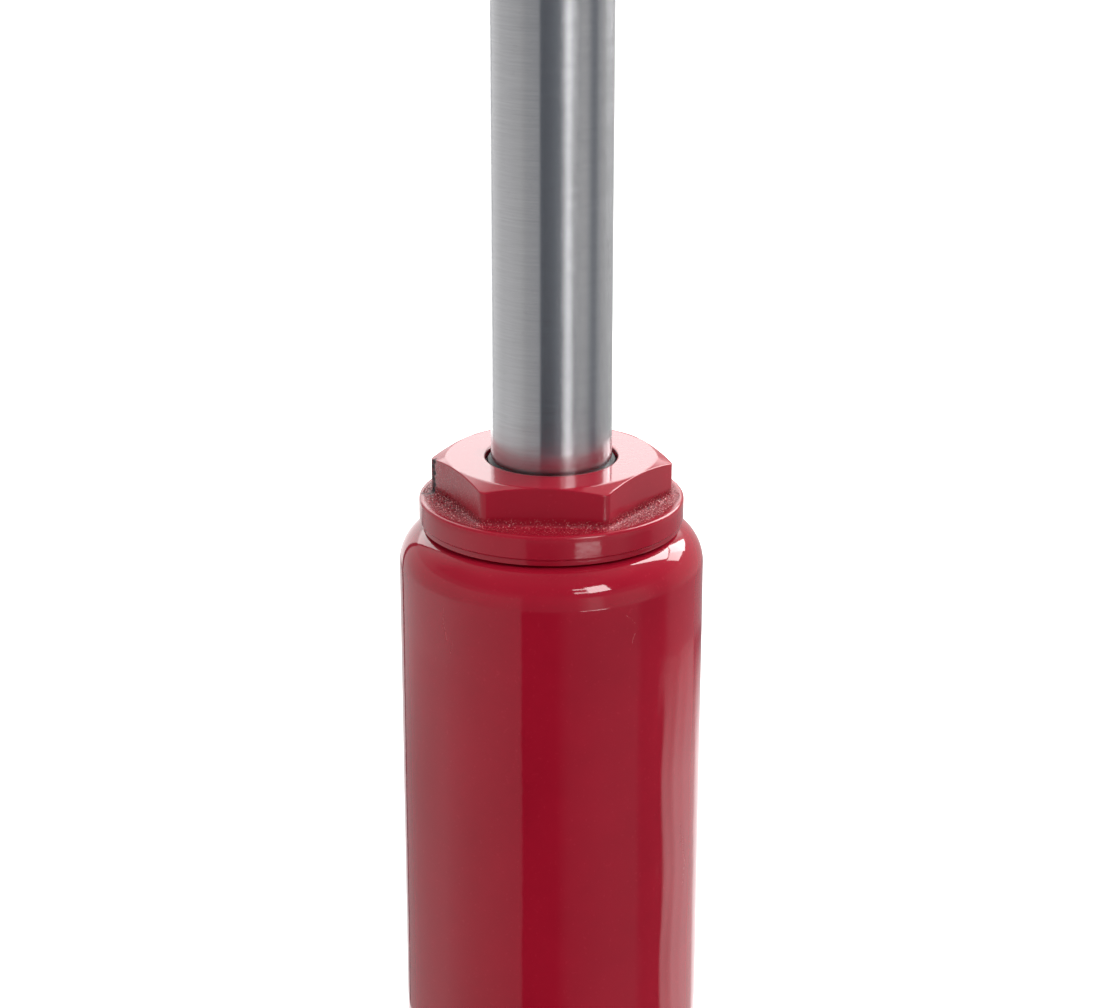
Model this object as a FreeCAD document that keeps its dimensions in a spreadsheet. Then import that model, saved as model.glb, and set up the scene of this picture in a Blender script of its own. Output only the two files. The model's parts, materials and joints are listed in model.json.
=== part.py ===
import FreeCAD, Part

import math
import os
import re

import Sketcher
from FreeCAD import Placement, Rotation, Vector

# Two-stage telescopic ram with its own oil jacket, foot block and hand pump.
# Millimetres and degrees. +Z is up along the ram, z = 0 is the underside of the foot,
# and the pump stands behind the ram on +Y.

# Driving dimensions, each written once
SIZES = {
    # foot block
    "footWidth": 150,
    "footFront": 75,
    "footBack": 130,
    "footThickness": 26,
    "footCorner": 18,
    "footEdge": 3,
    "boltInset": 15,
    "boltHoleRadius": 6.75,
    "spotRadius": 12.5,
    "spotDepth": 1,
    "bossHeight": 20,
    "bossWall": 7,
    "bossFillet": 6,
    "bossEdge": 1.5,
    "tubeSeatDepth": 14,
    "webHalfWidth": 15,
    "rootOverlap": 1,
    # oil jacket
    "jacketRadius": 50.8,
    "jacketWall": 3,
    "shoulderRadius": 13,
    "jacketSeatDepth": 8,
    "gasketThickness": 2,
    "seatGap": 0.3,
    "lipInner": 31,
    # pressure tube and its gland
    "pressureWall": 5,
    "boreRadius": 25,
    "tubeRingSection": 2.4,
    "tubeRingRise": 4,
    "bushLength": 38,
    "bushFlange": 2,
    "bushFlangeHeight": 6,
    "bushRingRise": 10,
    "bushSealRise": 20,
    # hexagon tank nut
    "nutHeight": 23.4,
    "hexHeight": 13.3,
    "nutFlats": 70,
    "hexTurn": -3.8,
    "nutCorner": 40,
    "chamferRadius": 34.8,
    "chamferRise": 2.1,
    "flangeRadius": 44,
    "flangeEdge": 1.2,
    "flangeFoot": 43.4,
    "footLineHeight": 2,
    "footLineDepth": 0.5,
    "flangeFootEdge": 0.4,
    "nutHole": 21.9,
    "nutHoleEdge": 0.6,
    "capThickness": 7,
    "wiperLip": 2.5,
    "wiperGroove": 24.5,
    "wiperMouth": 21.8,
    "wiperTaper": 0.6,
    "wiperThickness": 1,
    "nutGrooveInner": 33,
    "nutGrooveOuter": 37,
    "nutGrooveDepth": 1.5,
    # first stage
    "firstRadius": 20,
    "firstWall": 4.5,
    "firstStroke": 220,
    "restExtension": 165,
    "floorGap": 2,
    "firstPistonLength": 30,
    "firstPistonFloor": 8,
    "firstPort": 7,
    "tubeEdge": 0.5,
    "headGap": 8,
    "collarRadius": 23,
    "collarHeight": 14,
    "collarEdge": 1.2,
    "collarSpigot": 26,
    "collarSealRise": 8,
    "collarSealDepth": 2.1,
    "collarWiperDepth": 4,
    "collarWiperLip": 2,
    "collarSlotWidth": 5,
    "collarSlotDepth": 2.5,
    # second stage
    "secondRadius": 12,
    "secondPistonLength": 28,
    "pistonNutHeight": 8,
    "pistonNutFlats": 19,
    "secondSpigot": 6,
    "rodEdge": 1,
    "saddleBoreSpare": 2,
    "saddleBorePoint": 3,
    "saddleGap": 3,
    "secondFloorGap": 0.3,
    # seals
    "fit": 0.05,
    "sealFit": 0.02,
    "sealWidth": 6,
    "sealDepth": 3,
    "pistonSealRise": 5,
    "pistonEdge": 0.6,
    "wearWidth": 9,
    "wearDepth": 1.6,
    "wearDrop": 3,
    "ringSection": 2,
    # saddle
    "saddleRadius": 23,
    "saddleHeight": 18,
    "saddleSkirt": 8,
    "saddleEdge": 1.5,
    "saddleNeck": 3,
    "saddleFlare": 11.2,
    "saddleRingRise": 4,
    "saddleSpigot": 8,
    "saddleSpigotLength": 24,
    "saddlePlay": 0.2,
    "gripPitch": 8,
    "gripDepth": 1.6,
    "gripOverrun": 2,
    # hand pump
    "pumpOffset": 102,
    "pumpWellRadius": 14,
    "pumpWellDepth": 18,
    "pumpBossWall": 10,
    "washerThickness": 1.5,
    "barrelRadius": 17,
    "barrelHeight": 54,
    "barrelThread": 15,
    "barrelThreadLength": 12,
    "barrelEdge": 0.8,
    "packingRadius": 11.5,
    "packingDepth": 8,
    "glandFlats": 36,
    "glandCap": 6,
    "glandChamfer": 1.4,
    "plungerRadius": 8,
    "plungerStroke": 24,
    "plungerFootGap": 3,
    "pinRise": 20,
    "tongueThickness": 10,
    "tongueRoot": 14.5,
    "tongueInset": 0.6,
    # lever and its pins
    "postOffset": 66,
    "postRadius": 10,
    "postSpigot": 8,
    "fulcrumPinRadius": 5,
    "plungerPinRadius": 4,
    "slotPlay": 0.3,
    "slotTravel": 2.2,
    "forkGap": 0.6,
    "cheekThickness": 6.4,
    "armBelow": 8,
    "armAbove": 11,
    "armEnd": 62,
    "armEye": 11,
    "forkReach": 50,
    "socketStart": 50,
    "socketTilt": 35,
    "socketRadius": 15,
    "socketBore": 10.2,
    "socketLength": 84,
    "socketDepth": 60,
    "pinHeadRadius": 8,
    "pinHeadHeight": 3,
    "pinEdge": 0.8,
    "pinPlay": 0.4,
    "pinTail": 3,
    "clipThickness": 1.2,
    "clipReach": 3.5,
    "clipBite": 1,
    "clipMouth": 0.4,
    # valves and drillings in the foot
    "pressureLine": 14.4,
    "suctionLine": 7,
    "lineRadius": 2,
    "plugRadius": 5,
    "plugLength": 9,
    "plugSocketFlats": 4,
    "plugSocketDepth": 4,
    "plugEdge": 0.8,
    "retainerRadius": 8,
    "retainerThickness": 3,
    "retainerHole": 1.5,
    "retainerRing": 4.5,
    "suctionChamber": 11,
    "deliveryPlay": 0.5,
    "seatRatio": 0.6,
    "suctionSeat": 10,
    "suctionBall": 3,
    "suctionPocket": 4,
    "deliverySeat": 20.5,
    "deliveryBall": 3.5,
    "deliveryPocket": 5.5,
    "suctionRiserX": 30,
    "suctionRiserY": 28,
    "riserRadius": 2.5,
    "valveFeed": 16,
    "valveSeat": 24,
    "valveBall": 3.5,
    "valvePocket": 4.5,
    "valvePocketEnd": 44,
    "returnOffset": 38.5,
    "releaseThread": 7,
    "releaseTip": 2.6,
    "knobGap": 4,
    "knobRadius": 13,
    "knobLength": 18,
    "knobEdge": 1.5,
    "knobNotch": 6,
    "knobNotchDepth": 7,
    "stemRingDepth": 24,
    "reliefThread": 6,
    "reliefLength": 18,
    "reliefSocketFlats": 6,
    "springWire": 0.5,
    "springRadius": 2.9,
    "springTurns": 4,
    "springPlay": 0.1,
    # filler plug in the jacket
    "fillerHeight": 250,
    "fillerHole": 7,
    "fillerHead": 11,
    "fillerHeadHeight": 4,
    "fillerBead": 8,
    "fillerBeadHeight": 2.5,
    "fillerBeadEdge": 1.2,
    "fillerRim": 4,
    "fillerDish": 1,
}

# Places that follow from the driving dimensions
DERIVED = {
    "bossTop": "(footThickness + bossHeight)",
    "bossRadius": "(jacketRadius + bossWall)",
    "tubeSeat": "(bossTop - tubeSeatDepth)",
    "pressureRadius": "(boreRadius + pressureWall)",
    "tubeTop": "(tubeSeat + floorGap + firstPistonLength + firstStroke + bushLength)",
    "bushFoot": "(tubeTop - bushLength)",
    "nutTop": "(tubeTop + capThickness)",
    "flangeTop": "(nutTop - hexHeight)",
    "jacketTop": "(nutTop - nutHeight)",
    "jacketBore": "(jacketRadius - jacketWall)",
    "jacketFoot": "(bossTop - jacketSeatDepth + gasketThickness)",
    "firstFoot": "(tubeSeat + floorGap + restExtension)",
    "firstBore": "(firstRadius - firstWall)",
    "firstTubeFoot": "(firstFoot + firstPistonFloor)",
    "firstTop": "(nutTop + headGap + restExtension)",
    "collarTop": "(firstTop + collarHeight)",
    "collarFoot": "(firstTop - collarSpigot)",
    "secondFoot": "(firstTubeFoot + secondFloorGap)",
    "secondPistonFoot": "(secondFoot + pistonNutHeight)",
    "secondPistonTop": "(secondPistonFoot + secondPistonLength)",
    "secondTop": "(collarTop + saddleGap)",
    "saddleFoot": "(secondTop + saddlePlay)",
    "saddleTop": "(saddleFoot + saddleHeight)",
    "wellFloor": "(bossTop - pumpWellDepth)",
    "barrelFoot": "(wellFloor + washerThickness)",
    "threadFoot": "(bossTop + barrelHeight)",
    "barrelTop": "(threadFoot + barrelThreadLength)",
    "glandTop": "(barrelTop + glandCap)",
    "pinLow": "(glandTop + pinRise)",
    "fulcrumHeight": "(pinLow + plungerStroke / 2)",
    "leverArm": "(pumpOffset - postOffset)",
    "leverRest": "(-atan(plungerStroke / 2 / leverArm) / 1 deg)",
    "forkInner": "(tongueThickness / 2 + forkGap)",
    "forkOuter": "(forkInner + cheekThickness)",
    "footSide": "(footWidth / 2)",
    "suctionRetainer": "(wellFloor - suctionChamber)",
    "deliveryRetainer": "(tubeSeat - retainerThickness - deliveryPlay)",
    "seatRise": "(sqrt(1 - seatRatio * seatRatio))",
}

# Half of the included angle between a hexagon's flat and its corner
HEX_HALF = 30

# Turns that lay a piece's own Z axis along a direction
DIRECTIONS = {
    "z": (Vector(0, 0, 1), 0),
    "x": (Vector(0, 1, 0), 90),
    "-x": (Vector(0, 1, 0), -90),
    "y": (Vector(1, 0, 0), -90),
}

document = FreeCAD.newDocument("telescopic_ram")
sheet = document.addObject("Spreadsheet::Sheet", "Sizes")
pieces = []


def fill_sheet():
    for row, (name, value) in enumerate(SIZES.items(), start=1):
        sheet.set(f"A{row}", name)
        sheet.set(f"B{row}", str(value))
        sheet.setAlias(f"B{row}", name)
    document.recompute()


def formula(text):
    # Writes derived places out in full, then points each name at its cell
    text = str(text)
    while True:
        longer = re.sub(r"[A-Za-z]\w*", lambda word: DERIVED.get(word[0], word[0]), text)
        if longer == text:
            break
        text = longer
    return re.sub(r"[A-Za-z]\w*", lambda word: f"Sizes.{word[0]}" if word[0] in SIZES else word[0], text)


def value(text):
    result = sheet.evalExpression(formula(text))
    return float(getattr(result, "Value", result))


def bind(item, prop, text):
    item.setExpression(prop, formula(text))


def origin_plane(body, role):
    return next(feature for feature in body.Origin.OriginFeatures if feature.Role == role)


def keep(item, label):
    item.Label = label
    pieces.append(item)
    return item


def new_body(label):
    body = document.addObject("PartDesign::Body", label)
    body.Label = label
    return body


def new_sketch(body, name, role):
    sketch = body.newObject("Sketcher::SketchObject", name)
    sketch.AttachmentSupport = [(origin_plane(body, role), "")]
    sketch.MapMode = "FlatFace"
    return sketch


def place(item, x=0, y=0, z=0, axis=Vector(0, 0, 1), turn=0):
    item.Placement = Placement(Vector(0, 0, 0), Rotation(axis, turn))
    for letter, text in (("x", x), ("y", y), ("z", z)):
        bind(item, f"Placement.Base.{letter}", text)


def outline(sketch, corners):
    # A closed line through the corners. A corner with a radius and a side is reached by
    # an arc of that radius, which bulges to the right of its chord for 1 and to the left for -1.
    places = [Vector(value(corner[0]), value(corner[1]), 0) for corner in corners]
    count = len(corners)
    for index in range(count):
        following = (index + 1) % count
        start, end = places[index], places[following]
        if len(corners[following]) == 2:
            sketch.addGeometry(Part.LineSegment(start, end))
            continue
        radius, side = value(corners[following][2]), corners[following][3]
        chord = end - start
        rise = radius - math.sqrt(max(radius ** 2 - chord.Length ** 2 / 4, 0))
        across = Vector(chord.y, -chord.x, 0).normalize()
        middle = (start + end) * 0.5 + across * rise * side
        sketch.addGeometry(Part.Arc(start, middle, end) if side > 0 else Part.Arc(end, middle, start))
    ends = [(end_at(sketch, index, places[index]), end_at(sketch, index, places[(index + 1) % count]))
            for index in range(count)]
    for index in range(count):
        following = (index + 1) % count
        own_end, next_start = ends[index][1], ends[following][0]
        sketch.addConstraint(Sketcher.Constraint("Coincident", index, own_end, following, next_start))
    for index, corner in enumerate(corners):
        for kind, text in (("DistanceX", corner[0]), ("DistanceY", corner[1])):
            size = sketch.addConstraint(Sketcher.Constraint(kind, -1, 1, index, ends[index][0], value(text)))
            sketch.setExpression(f"Constraints[{size}]", formula(text))
        if len(corner) > 2:
            size = sketch.addConstraint(Sketcher.Constraint("Radius", (index - 1) % count, value(corner[2])))
            sketch.setExpression(f"Constraints[{size}]", formula(corner[2]))


def end_at(sketch, index, point):
    # 1 where the line or arc starts at the point, 2 where it ends there
    line = sketch.Geometry[index]
    return 1 if (line.StartPoint - point).Length < (line.EndPoint - point).Length else 2


def turned(label, corners):
    # A turned piece: its half section (radius, height) spun once about its own Z axis
    body = new_body(label)
    section = new_sketch(body, f"{label}_section", "XZ_Plane")
    outline(section, corners)
    turning = body.newObject("PartDesign::Revolution", f"{label}_turned")
    turning.Profile = section
    turning.ReferenceAxis = (section, ["V_Axis"])
    turning.Angle = 360
    document.recompute()
    return body


def ring(label, inner, outer, foot, top):
    return turned(label, [(inner, foot), (outer, foot), (outer, top), (inner, top)])


def hexagon(flats, turn="0"):
    # The six corners of a hexagon of that width across flats
    reach = f"({flats}) / 2 / cos({HEX_HALF} deg)"
    angles = [f"1 deg * ({60 * side} + {turn})" for side in range(6)]
    return [(f"{reach} * cos({angle})", f"{reach} * sin({angle})") for angle in angles]


def cut_hexagon(body, flats, blank, top, height, turn="0"):
    # Cuts the flats of a hexagon into a turned blank, from its top down
    sketch = new_sketch(body, f"{body.Label}_flats", "XY_Plane")
    bind(sketch, "AttachmentOffset.Base.z", top)
    outline(sketch, hexagon(flats, turn))
    rim = sketch.addGeometry(Part.Circle(Vector(0, 0, 0), Vector(0, 0, 1), value(blank) + 5))
    sketch.addConstraint(Sketcher.Constraint("Coincident", rim, 3, -1, 1))
    size = sketch.addConstraint(Sketcher.Constraint("Radius", rim, value(blank) + 5))
    sketch.setExpression(f"Constraints[{size}]", formula(f"{blank} + 5"))
    pocket_down(body, sketch, height)


def cut_socket(body, flats, top, depth):
    sketch = new_sketch(body, f"{body.Label}_socket", "XY_Plane")
    bind(sketch, "AttachmentOffset.Base.z", top)
    outline(sketch, hexagon(flats))
    pocket_down(body, sketch, depth)


def pocket_down(body, sketch, depth):
    before = body.Shape.Volume
    pocket = body.newObject("PartDesign::Pocket", f"{sketch.Name}_cut")
    pocket.Profile = sketch
    pocket.Type = "Length"
    bind(pocket, "Length", depth)
    document.recompute()
    if body.Shape.Volume >= before:
        raise RuntimeError(f"{sketch.Name} cuts nothing")


def cylinder(name, radius, length, x=0, y=0, z=0, along="z"):
    # A plain cylinder that starts at a point
    item = document.addObject("Part::Cylinder", name)
    bind(item, "Radius", radius)
    bind(item, "Height", length)
    place(item, x, y, z, *DIRECTIONS[along])
    return item


def stepped_hole(name, floor, steps, x=0, y=0, z=0, along="z"):
    # The space of a hole that widens in steps; floor and reaches are measured along its axis
    corners = [("0", floor)]
    foot = floor
    for radius, reach in steps:
        corners += [(radius, foot), (radius, reach)]
        foot = reach
    body = turned(name, corners + [("0", foot)])
    place(body, x, y, z, *DIRECTIONS[along])
    return body


def block(name, low, high):
    item = document.addObject("Part::Box", name)
    for prop, letter, start, end in zip(("Length", "Width", "Height"), "xyz", low, high):
        bind(item, prop, f"({end}) - ({start})")
        bind(item, f"Placement.Base.{letter}", start)
    return item


def fused(name, shapes):
    item = document.addObject("Part::MultiFuse", name)
    item.Shapes = shapes
    return item


def cut(name, base, tools):
    item = document.addObject("Part::Cut", name)
    item.Base = base
    item.Tool = tools[0] if len(tools) == 1 else fused(f"{name}_tools", tools)
    document.recompute()
    return item


def foot_plate():
    # The cast plate under everything, with rounded corners and a rounded top edge
    body = new_body("foot_plate")
    sketch = new_sketch(body, "foot_plate_outline", "XY_Plane")
    side, front, back, corner = "footSide", "footFront", "footBack", "footCorner"
    outline(sketch, [
        (f"-{side} + {corner}", f"-{front}", corner, 1),
        (f"{side} - {corner}", f"-{front}"),
        (side, f"-{front} + {corner}", corner, 1),
        (side, f"{back} - {corner}"),
        (f"{side} - {corner}", back, corner, 1),
        (f"-{side} + {corner}", back),
        (f"-{side}", f"{back} - {corner}", corner, 1),
        (f"-{side}", f"-{front} + {corner}"),
    ])
    pad = body.newObject("PartDesign::Pad", "foot_plate_pad")
    pad.Profile = sketch
    bind(pad, "Length", "footThickness")
    document.recompute()
    top = value("footThickness")
    edges = [f"Edge{number}" for number, edge in enumerate(body.Shape.Edges, start=1)
             if all(abs(vertex.Z - top) < 1e-6 for vertex in edge.Vertexes)]
    rounding = body.newObject("PartDesign::Fillet", "foot_plate_rounding")
    rounding.Base = (pad, edges)
    bind(rounding, "Radius", "footEdge")
    document.recompute()
    return body


def cast_boss(name, radius, x="0", y="0"):
    # A round boss on the plate with a cast fillet at its foot and an eased top edge
    body = turned(name, [
        ("0", "footThickness - rootOverlap"),
        (f"{radius} + bossFillet", "footThickness - rootOverlap"),
        (f"{radius} + bossFillet", "footThickness"),
        (radius, "footThickness + bossFillet", "bossFillet", -1),
        (radius, "bossTop - bossEdge"),
        (f"{radius} - bossEdge", "bossTop"),
        ("0", "bossTop"),
    ])
    place(body, x, y)
    return body


def base_block():
    solid = fused("foot_casting", [
        foot_plate(),
        cast_boss("ram_boss", "bossRadius"),
        cast_boss("pump_boss", "pumpWellRadius + pumpBossWall", y="pumpOffset"),
        block("pump_web", ("-webHalfWidth", "jacketRadius", "footThickness - rootOverlap"),
              ("webHalfWidth", "pumpOffset", "bossTop - bossEdge")),
    ])
    holes = ram_seats() + bolt_holes() + pump_drillings() + valve_drillings()
    return keep(cut("base_block", solid, holes), "base_block")


def ram_seats():
    groove = ring("jacket_groove", "jacketBore - seatGap", "jacketRadius + seatGap",
                  "bossTop - jacketSeatDepth", "bossTop + 1")
    well = stepped_hole("delivery_well", "pressureLine", [
        ("deliveryBall * seatRatio", "deliverySeat"),
        ("deliveryPocket", "deliveryRetainer"),
        ("retainerRadius", "tubeSeat"),
        ("pressureRadius + fit", "bossTop + 1"),
    ])
    return [groove, well]


def bolt_holes():
    holes = []
    across, front, back = "(footSide - boltInset)", "(boltInset - footFront)", "(footBack - boltInset)"
    corners = [(across, front), (f"-{across}", front), (across, back), (f"-{across}", back)]
    for number, (x, y) in enumerate(corners):
        holes.append(stepped_hole(f"bolt_hole_{number}", "-1", [
            ("boltHoleRadius", "footThickness - spotDepth"),
            ("spotRadius", "footThickness + 5"),
        ], x, y))
    return holes


def pump_drillings():
    well = stepped_hole("pump_well", "suctionLine", [
        ("suctionBall * seatRatio", "suctionSeat"),
        ("suctionPocket", "suctionRetainer"),
        ("retainerRadius", "wellFloor"),
        ("pumpWellRadius + fit", "bossTop + 1"),
    ], y="pumpOffset")
    post = cylinder("post_socket", "postSpigot + fit", "bossHeight + 1", 0, "postOffset", "footThickness")
    riser = cylinder("suction_riser", "riserRadius", "bossTop - suctionLine + 1",
                     "suctionRiserX", "suctionRiserY", "suctionLine")
    return [
        well,
        post,
        riser,
        plugged_drilling("pressure_drilling", "0", "footBack", 0, 0, "pressureLine", "y"),
        plugged_drilling("suction_cross_drilling", "0", "footSide", 0, "pumpOffset", "suctionLine", "x"),
        plugged_drilling("suction_long_drilling", "suctionRiserY", "footBack",
                         "suctionRiserX", 0, "suctionLine", "y"),
    ]


def plugged_drilling(name, start, mouth, x, y, z, along):
    return stepped_hole(name, start, [
        ("lineRadius", f"{mouth} - plugLength"),
        ("plugRadius", f"{mouth} + 1"),
    ], x, y, z, along)


def valve_drillings():
    holes = []
    valves = (("release", "", "x", "releaseThread"), ("relief", "-", "-x", "reliefThread"))
    for name, side, along, thread in valves:
        holes += [
            stepped_hole(f"{name}_hole", "valveFeed", [
                ("valveBall * seatRatio", "valveSeat"),
                ("valvePocket", "valvePocketEnd"),
                (f"{thread} + fit", "footSide + 1"),
            ], z="pressureLine", along=along),
            cylinder(f"{name}_feed", "riserRadius", "tubeSeat - pressureLine + 1",
                     side + "valveFeed", 0, "pressureLine"),
            cylinder(f"{name}_return", "riserRadius", "bossTop - pressureLine + 1",
                     side + "returnOffset", 0, "pressureLine"),
        ]
    return holes


def pressure_tube():
    body = turned("pressure_tube", [
        ("boreRadius", "tubeSeat"),
        ("pressureRadius", "tubeSeat"),
        ("pressureRadius", "tubeSeat + tubeRingRise"),
        ("pressureRadius - tubeRingSection", "tubeSeat + tubeRingRise"),
        ("pressureRadius - tubeRingSection", "tubeSeat + tubeRingRise + tubeRingSection"),
        ("pressureRadius", "tubeSeat + tubeRingRise + tubeRingSection"),
        ("pressureRadius", "tubeTop"),
        ("boreRadius + bushFlange", "tubeTop"),
        ("boreRadius + bushFlange", "tubeTop - bushFlangeHeight"),
        ("boreRadius", "tubeTop - bushFlangeHeight"),
    ])
    keep(body, "pressure_tube")
    seal = ring("pressure_tube_o_ring", "pressureRadius - tubeRingSection", "pressureRadius + fit",
                "tubeSeat + tubeRingRise", "tubeSeat + tubeRingRise + tubeRingSection")
    keep(seal, "pressure_tube_o_ring")


def reservoir_jacket():
    # A thin tube rolled in at the top to a flat lip, on which the tank nut clamps
    wall = turned("jacket_wall", [
        ("jacketBore", "jacketFoot"),
        ("jacketRadius", "jacketFoot"),
        ("jacketRadius", "jacketTop - shoulderRadius"),
        ("jacketRadius - shoulderRadius", "jacketTop", "shoulderRadius", 1),
        ("lipInner", "jacketTop"),
        ("lipInner", "jacketTop - jacketWall"),
        ("jacketRadius - shoulderRadius", "jacketTop - jacketWall"),
        ("jacketBore", "jacketTop - shoulderRadius", "shoulderRadius - jacketWall", -1),
    ])
    hole = cylinder("filler_hole", "fillerHole", "jacketWall + 12", 0, "jacketBore - 6", "fillerHeight", "y")
    keep(cut("reservoir_jacket", wall, [hole]), "reservoir_jacket")
    lower = ring("jacket_lower_gasket", "jacketBore - seatGap", "jacketRadius + seatGap",
                 "bossTop - jacketSeatDepth", "jacketFoot")
    keep(lower, "jacket_lower_gasket")
    upper = ring("jacket_upper_gasket", "nutGrooveInner", "nutGrooveOuter",
                 "jacketTop", "jacketTop + nutGrooveDepth")
    keep(upper, "jacket_upper_gasket")


def filler_plug():
    plug = turned("filler_stopper", [
        ("0", "-jacketWall - fillerBeadHeight"),
        ("fillerHole - fillerBeadEdge", "-jacketWall - fillerBeadHeight"),
        ("fillerBead", "-jacketWall - fillerBeadEdge"),
        ("fillerBead", "-jacketWall - fillerBeadEdge / 2"),
        ("fillerHole - fit", "-jacketWall - fillerBeadEdge / 2"),
        ("fillerHole - fit", "-2"),
        ("fillerHead", "-2"),
        ("fillerHead", "fillerHeadHeight - fillerDish"),
        ("fillerHead - fillerDish", "fillerHeadHeight"),
        ("fillerHead - fillerRim", "fillerHeadHeight"),
        ("fillerHead - fillerRim - fillerDish", "fillerHeadHeight - fillerDish"),
        ("0", "fillerHeadHeight - fillerDish"),
    ])
    place(plug, 0, "jacketRadius", "fillerHeight", Vector(1, 0, 0), -90)
    shell = ring("filler_seat_outer", "jacketBore - fillerBeadEdge / 2", "jacketRadius + fit",
                 "fillerHeight - 20", "fillerHeight + 20")
    stem = cylinder("filler_stem", "fillerHole - fit", "jacketWall + fillerDish * 2",
                    0, "jacketBore - fillerDish", "fillerHeight", "y")
    seated = cut("filler_head", plug, [shell])
    keep(fused("filler_plug", [seated, stem]), "filler_plug")


def tank_nut():
    # Hexagon with a round flange below it; the foot of the flange has a fine turned line
    body = turned("tank_nut", [
        ("nutHole", "nutTop - nutHoleEdge"),
        ("nutHole + nutHoleEdge", "nutTop"),
        ("chamferRadius", "nutTop"),
        ("nutCorner", "nutTop - chamferRise"),
        ("nutCorner", "flangeTop"),
        ("flangeRadius - flangeEdge", "flangeTop"),
        ("flangeRadius", "flangeTop - flangeEdge", "flangeEdge", -1),
        ("flangeRadius", "jacketTop + footLineHeight + footLineDepth"),
        ("flangeRadius - footLineDepth", "jacketTop + footLineHeight"),
        ("flangeFoot", "jacketTop + footLineHeight - footLineDepth"),
        ("flangeFoot", "jacketTop + flangeFootEdge"),
        ("flangeFoot - flangeFootEdge", "jacketTop"),
        ("nutGrooveOuter", "jacketTop"),
        ("nutGrooveOuter", "jacketTop + nutGrooveDepth"),
        ("nutGrooveInner", "jacketTop + nutGrooveDepth"),
        ("nutGrooveInner", "jacketTop"),
        ("pressureRadius + fit", "jacketTop"),
        ("pressureRadius + fit", "tubeTop"),
        ("wiperGroove", "tubeTop"),
        ("wiperGroove", "nutTop - wiperLip"),
        ("nutHole", "nutTop - wiperLip"),
    ])
    cut_hexagon(body, "nutFlats", "nutCorner", "nutTop", "hexHeight", "hexTurn")
    keep(body, "tank_nut")


def wiper(label, inner, groove, mouth, foot, top, lip):
    # A scraper ring: a flat heel in its groove and a thin lip that leans to the rod
    body = turned(label, [
        (f"{inner} + sealFit", foot),
        (groove, foot),
        (groove, top),
        (mouth, top),
        (f"{inner} + wiperThickness", f"{top} + {lip} * wiperTaper"),
        (f"{inner} + sealFit", f"{top} + {lip} * wiperTaper"),
    ])
    return keep(body, label)


def guide_bush():
    # Bronze bush that carries the first stage, with a rod seal inside and a ring outside
    body = turned("guide_bush", [
        ("firstRadius + fit", "bushFoot"),
        ("boreRadius - fit", "bushFoot"),
        ("boreRadius - fit", "bushFoot + bushRingRise"),
        ("boreRadius - ringSection", "bushFoot + bushRingRise"),
        ("boreRadius - ringSection", "bushFoot + bushRingRise + ringSection"),
        ("boreRadius - fit", "bushFoot + bushRingRise + ringSection"),
        ("boreRadius - fit", "tubeTop - bushFlangeHeight"),
        ("boreRadius + bushFlange - fit", "tubeTop - bushFlangeHeight"),
        ("boreRadius + bushFlange - fit", "tubeTop"),
        ("firstRadius + fit", "tubeTop"),
        ("firstRadius + fit", "bushFoot + bushSealRise + sealWidth"),
        ("firstRadius + sealDepth", "bushFoot + bushSealRise + sealWidth"),
        ("firstRadius + sealDepth", "bushFoot + bushSealRise"),
        ("firstRadius + fit", "bushFoot + bushSealRise"),
    ])
    keep(body, "guide_bush")
    keep(ring("stage_1_rod_seal", "firstRadius + sealFit", "firstRadius + sealDepth",
              "bushFoot + bushSealRise", "bushFoot + bushSealRise + sealWidth"), "stage_1_rod_seal")
    keep(ring("guide_bush_o_ring", "boreRadius - ringSection", "boreRadius",
              "bushFoot + bushRingRise", "bushFoot + bushRingRise + ringSection"), "guide_bush_o_ring")


def piston(label, bore, foot, length, inner_corners):
    # A piston with a seal groove near its foot and a wear ring groove near its top
    seal_foot = f"({foot} + pistonSealRise)"
    wear_top = f"({foot} + {length} - wearDrop)"
    outside = [
        (f"{bore} - fit - pistonEdge", foot),
        (f"{bore} - fit", f"{foot} + pistonEdge"),
        (f"{bore} - fit", seal_foot),
        (f"{bore} - sealDepth", seal_foot),
        (f"{bore} - sealDepth", f"{seal_foot} + sealWidth"),
        (f"{bore} - fit", f"{seal_foot} + sealWidth"),
        (f"{bore} - fit", f"{wear_top} - wearWidth"),
        (f"{bore} - wearDepth", f"{wear_top} - wearWidth"),
        (f"{bore} - wearDepth", wear_top),
        (f"{bore} - fit", wear_top),
        (f"{bore} - fit", f"{foot} + {length} - pistonEdge"),
        (f"{bore} - fit - pistonEdge", f"{foot} + {length}"),
    ]
    keep(turned(f"{label}_piston", outside + inner_corners), f"{label}_piston")
    keep(ring(f"{label}_piston_seal", f"{bore} - sealDepth", f"{bore} - sealFit",
              seal_foot, f"{seal_foot} + sealWidth"), f"{label}_piston_seal")
    keep(ring(f"{label}_wear_ring", f"{bore} - wearDepth", f"{bore} - sealFit",
              f"{wear_top} - wearWidth", wear_top), f"{label}_wear_ring")


def first_stage():
    tube = turned("stage_1_tube", [
        ("firstBore", "firstTubeFoot"),
        ("firstRadius", "firstTubeFoot"),
        ("firstRadius", "firstTop - tubeEdge"),
        ("firstRadius - tubeEdge", "firstTop"),
        ("firstBore", "firstTop"),
    ])
    keep(tube, "stage_1_tube")
    piston("stage_1", "boreRadius", "firstFoot", "firstPistonLength", [
        ("firstRadius", "firstFoot + firstPistonLength"),
        ("firstRadius", "firstTubeFoot"),
        ("firstPort", "firstTubeFoot"),
        ("firstPort", "firstFoot"),
    ])


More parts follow.
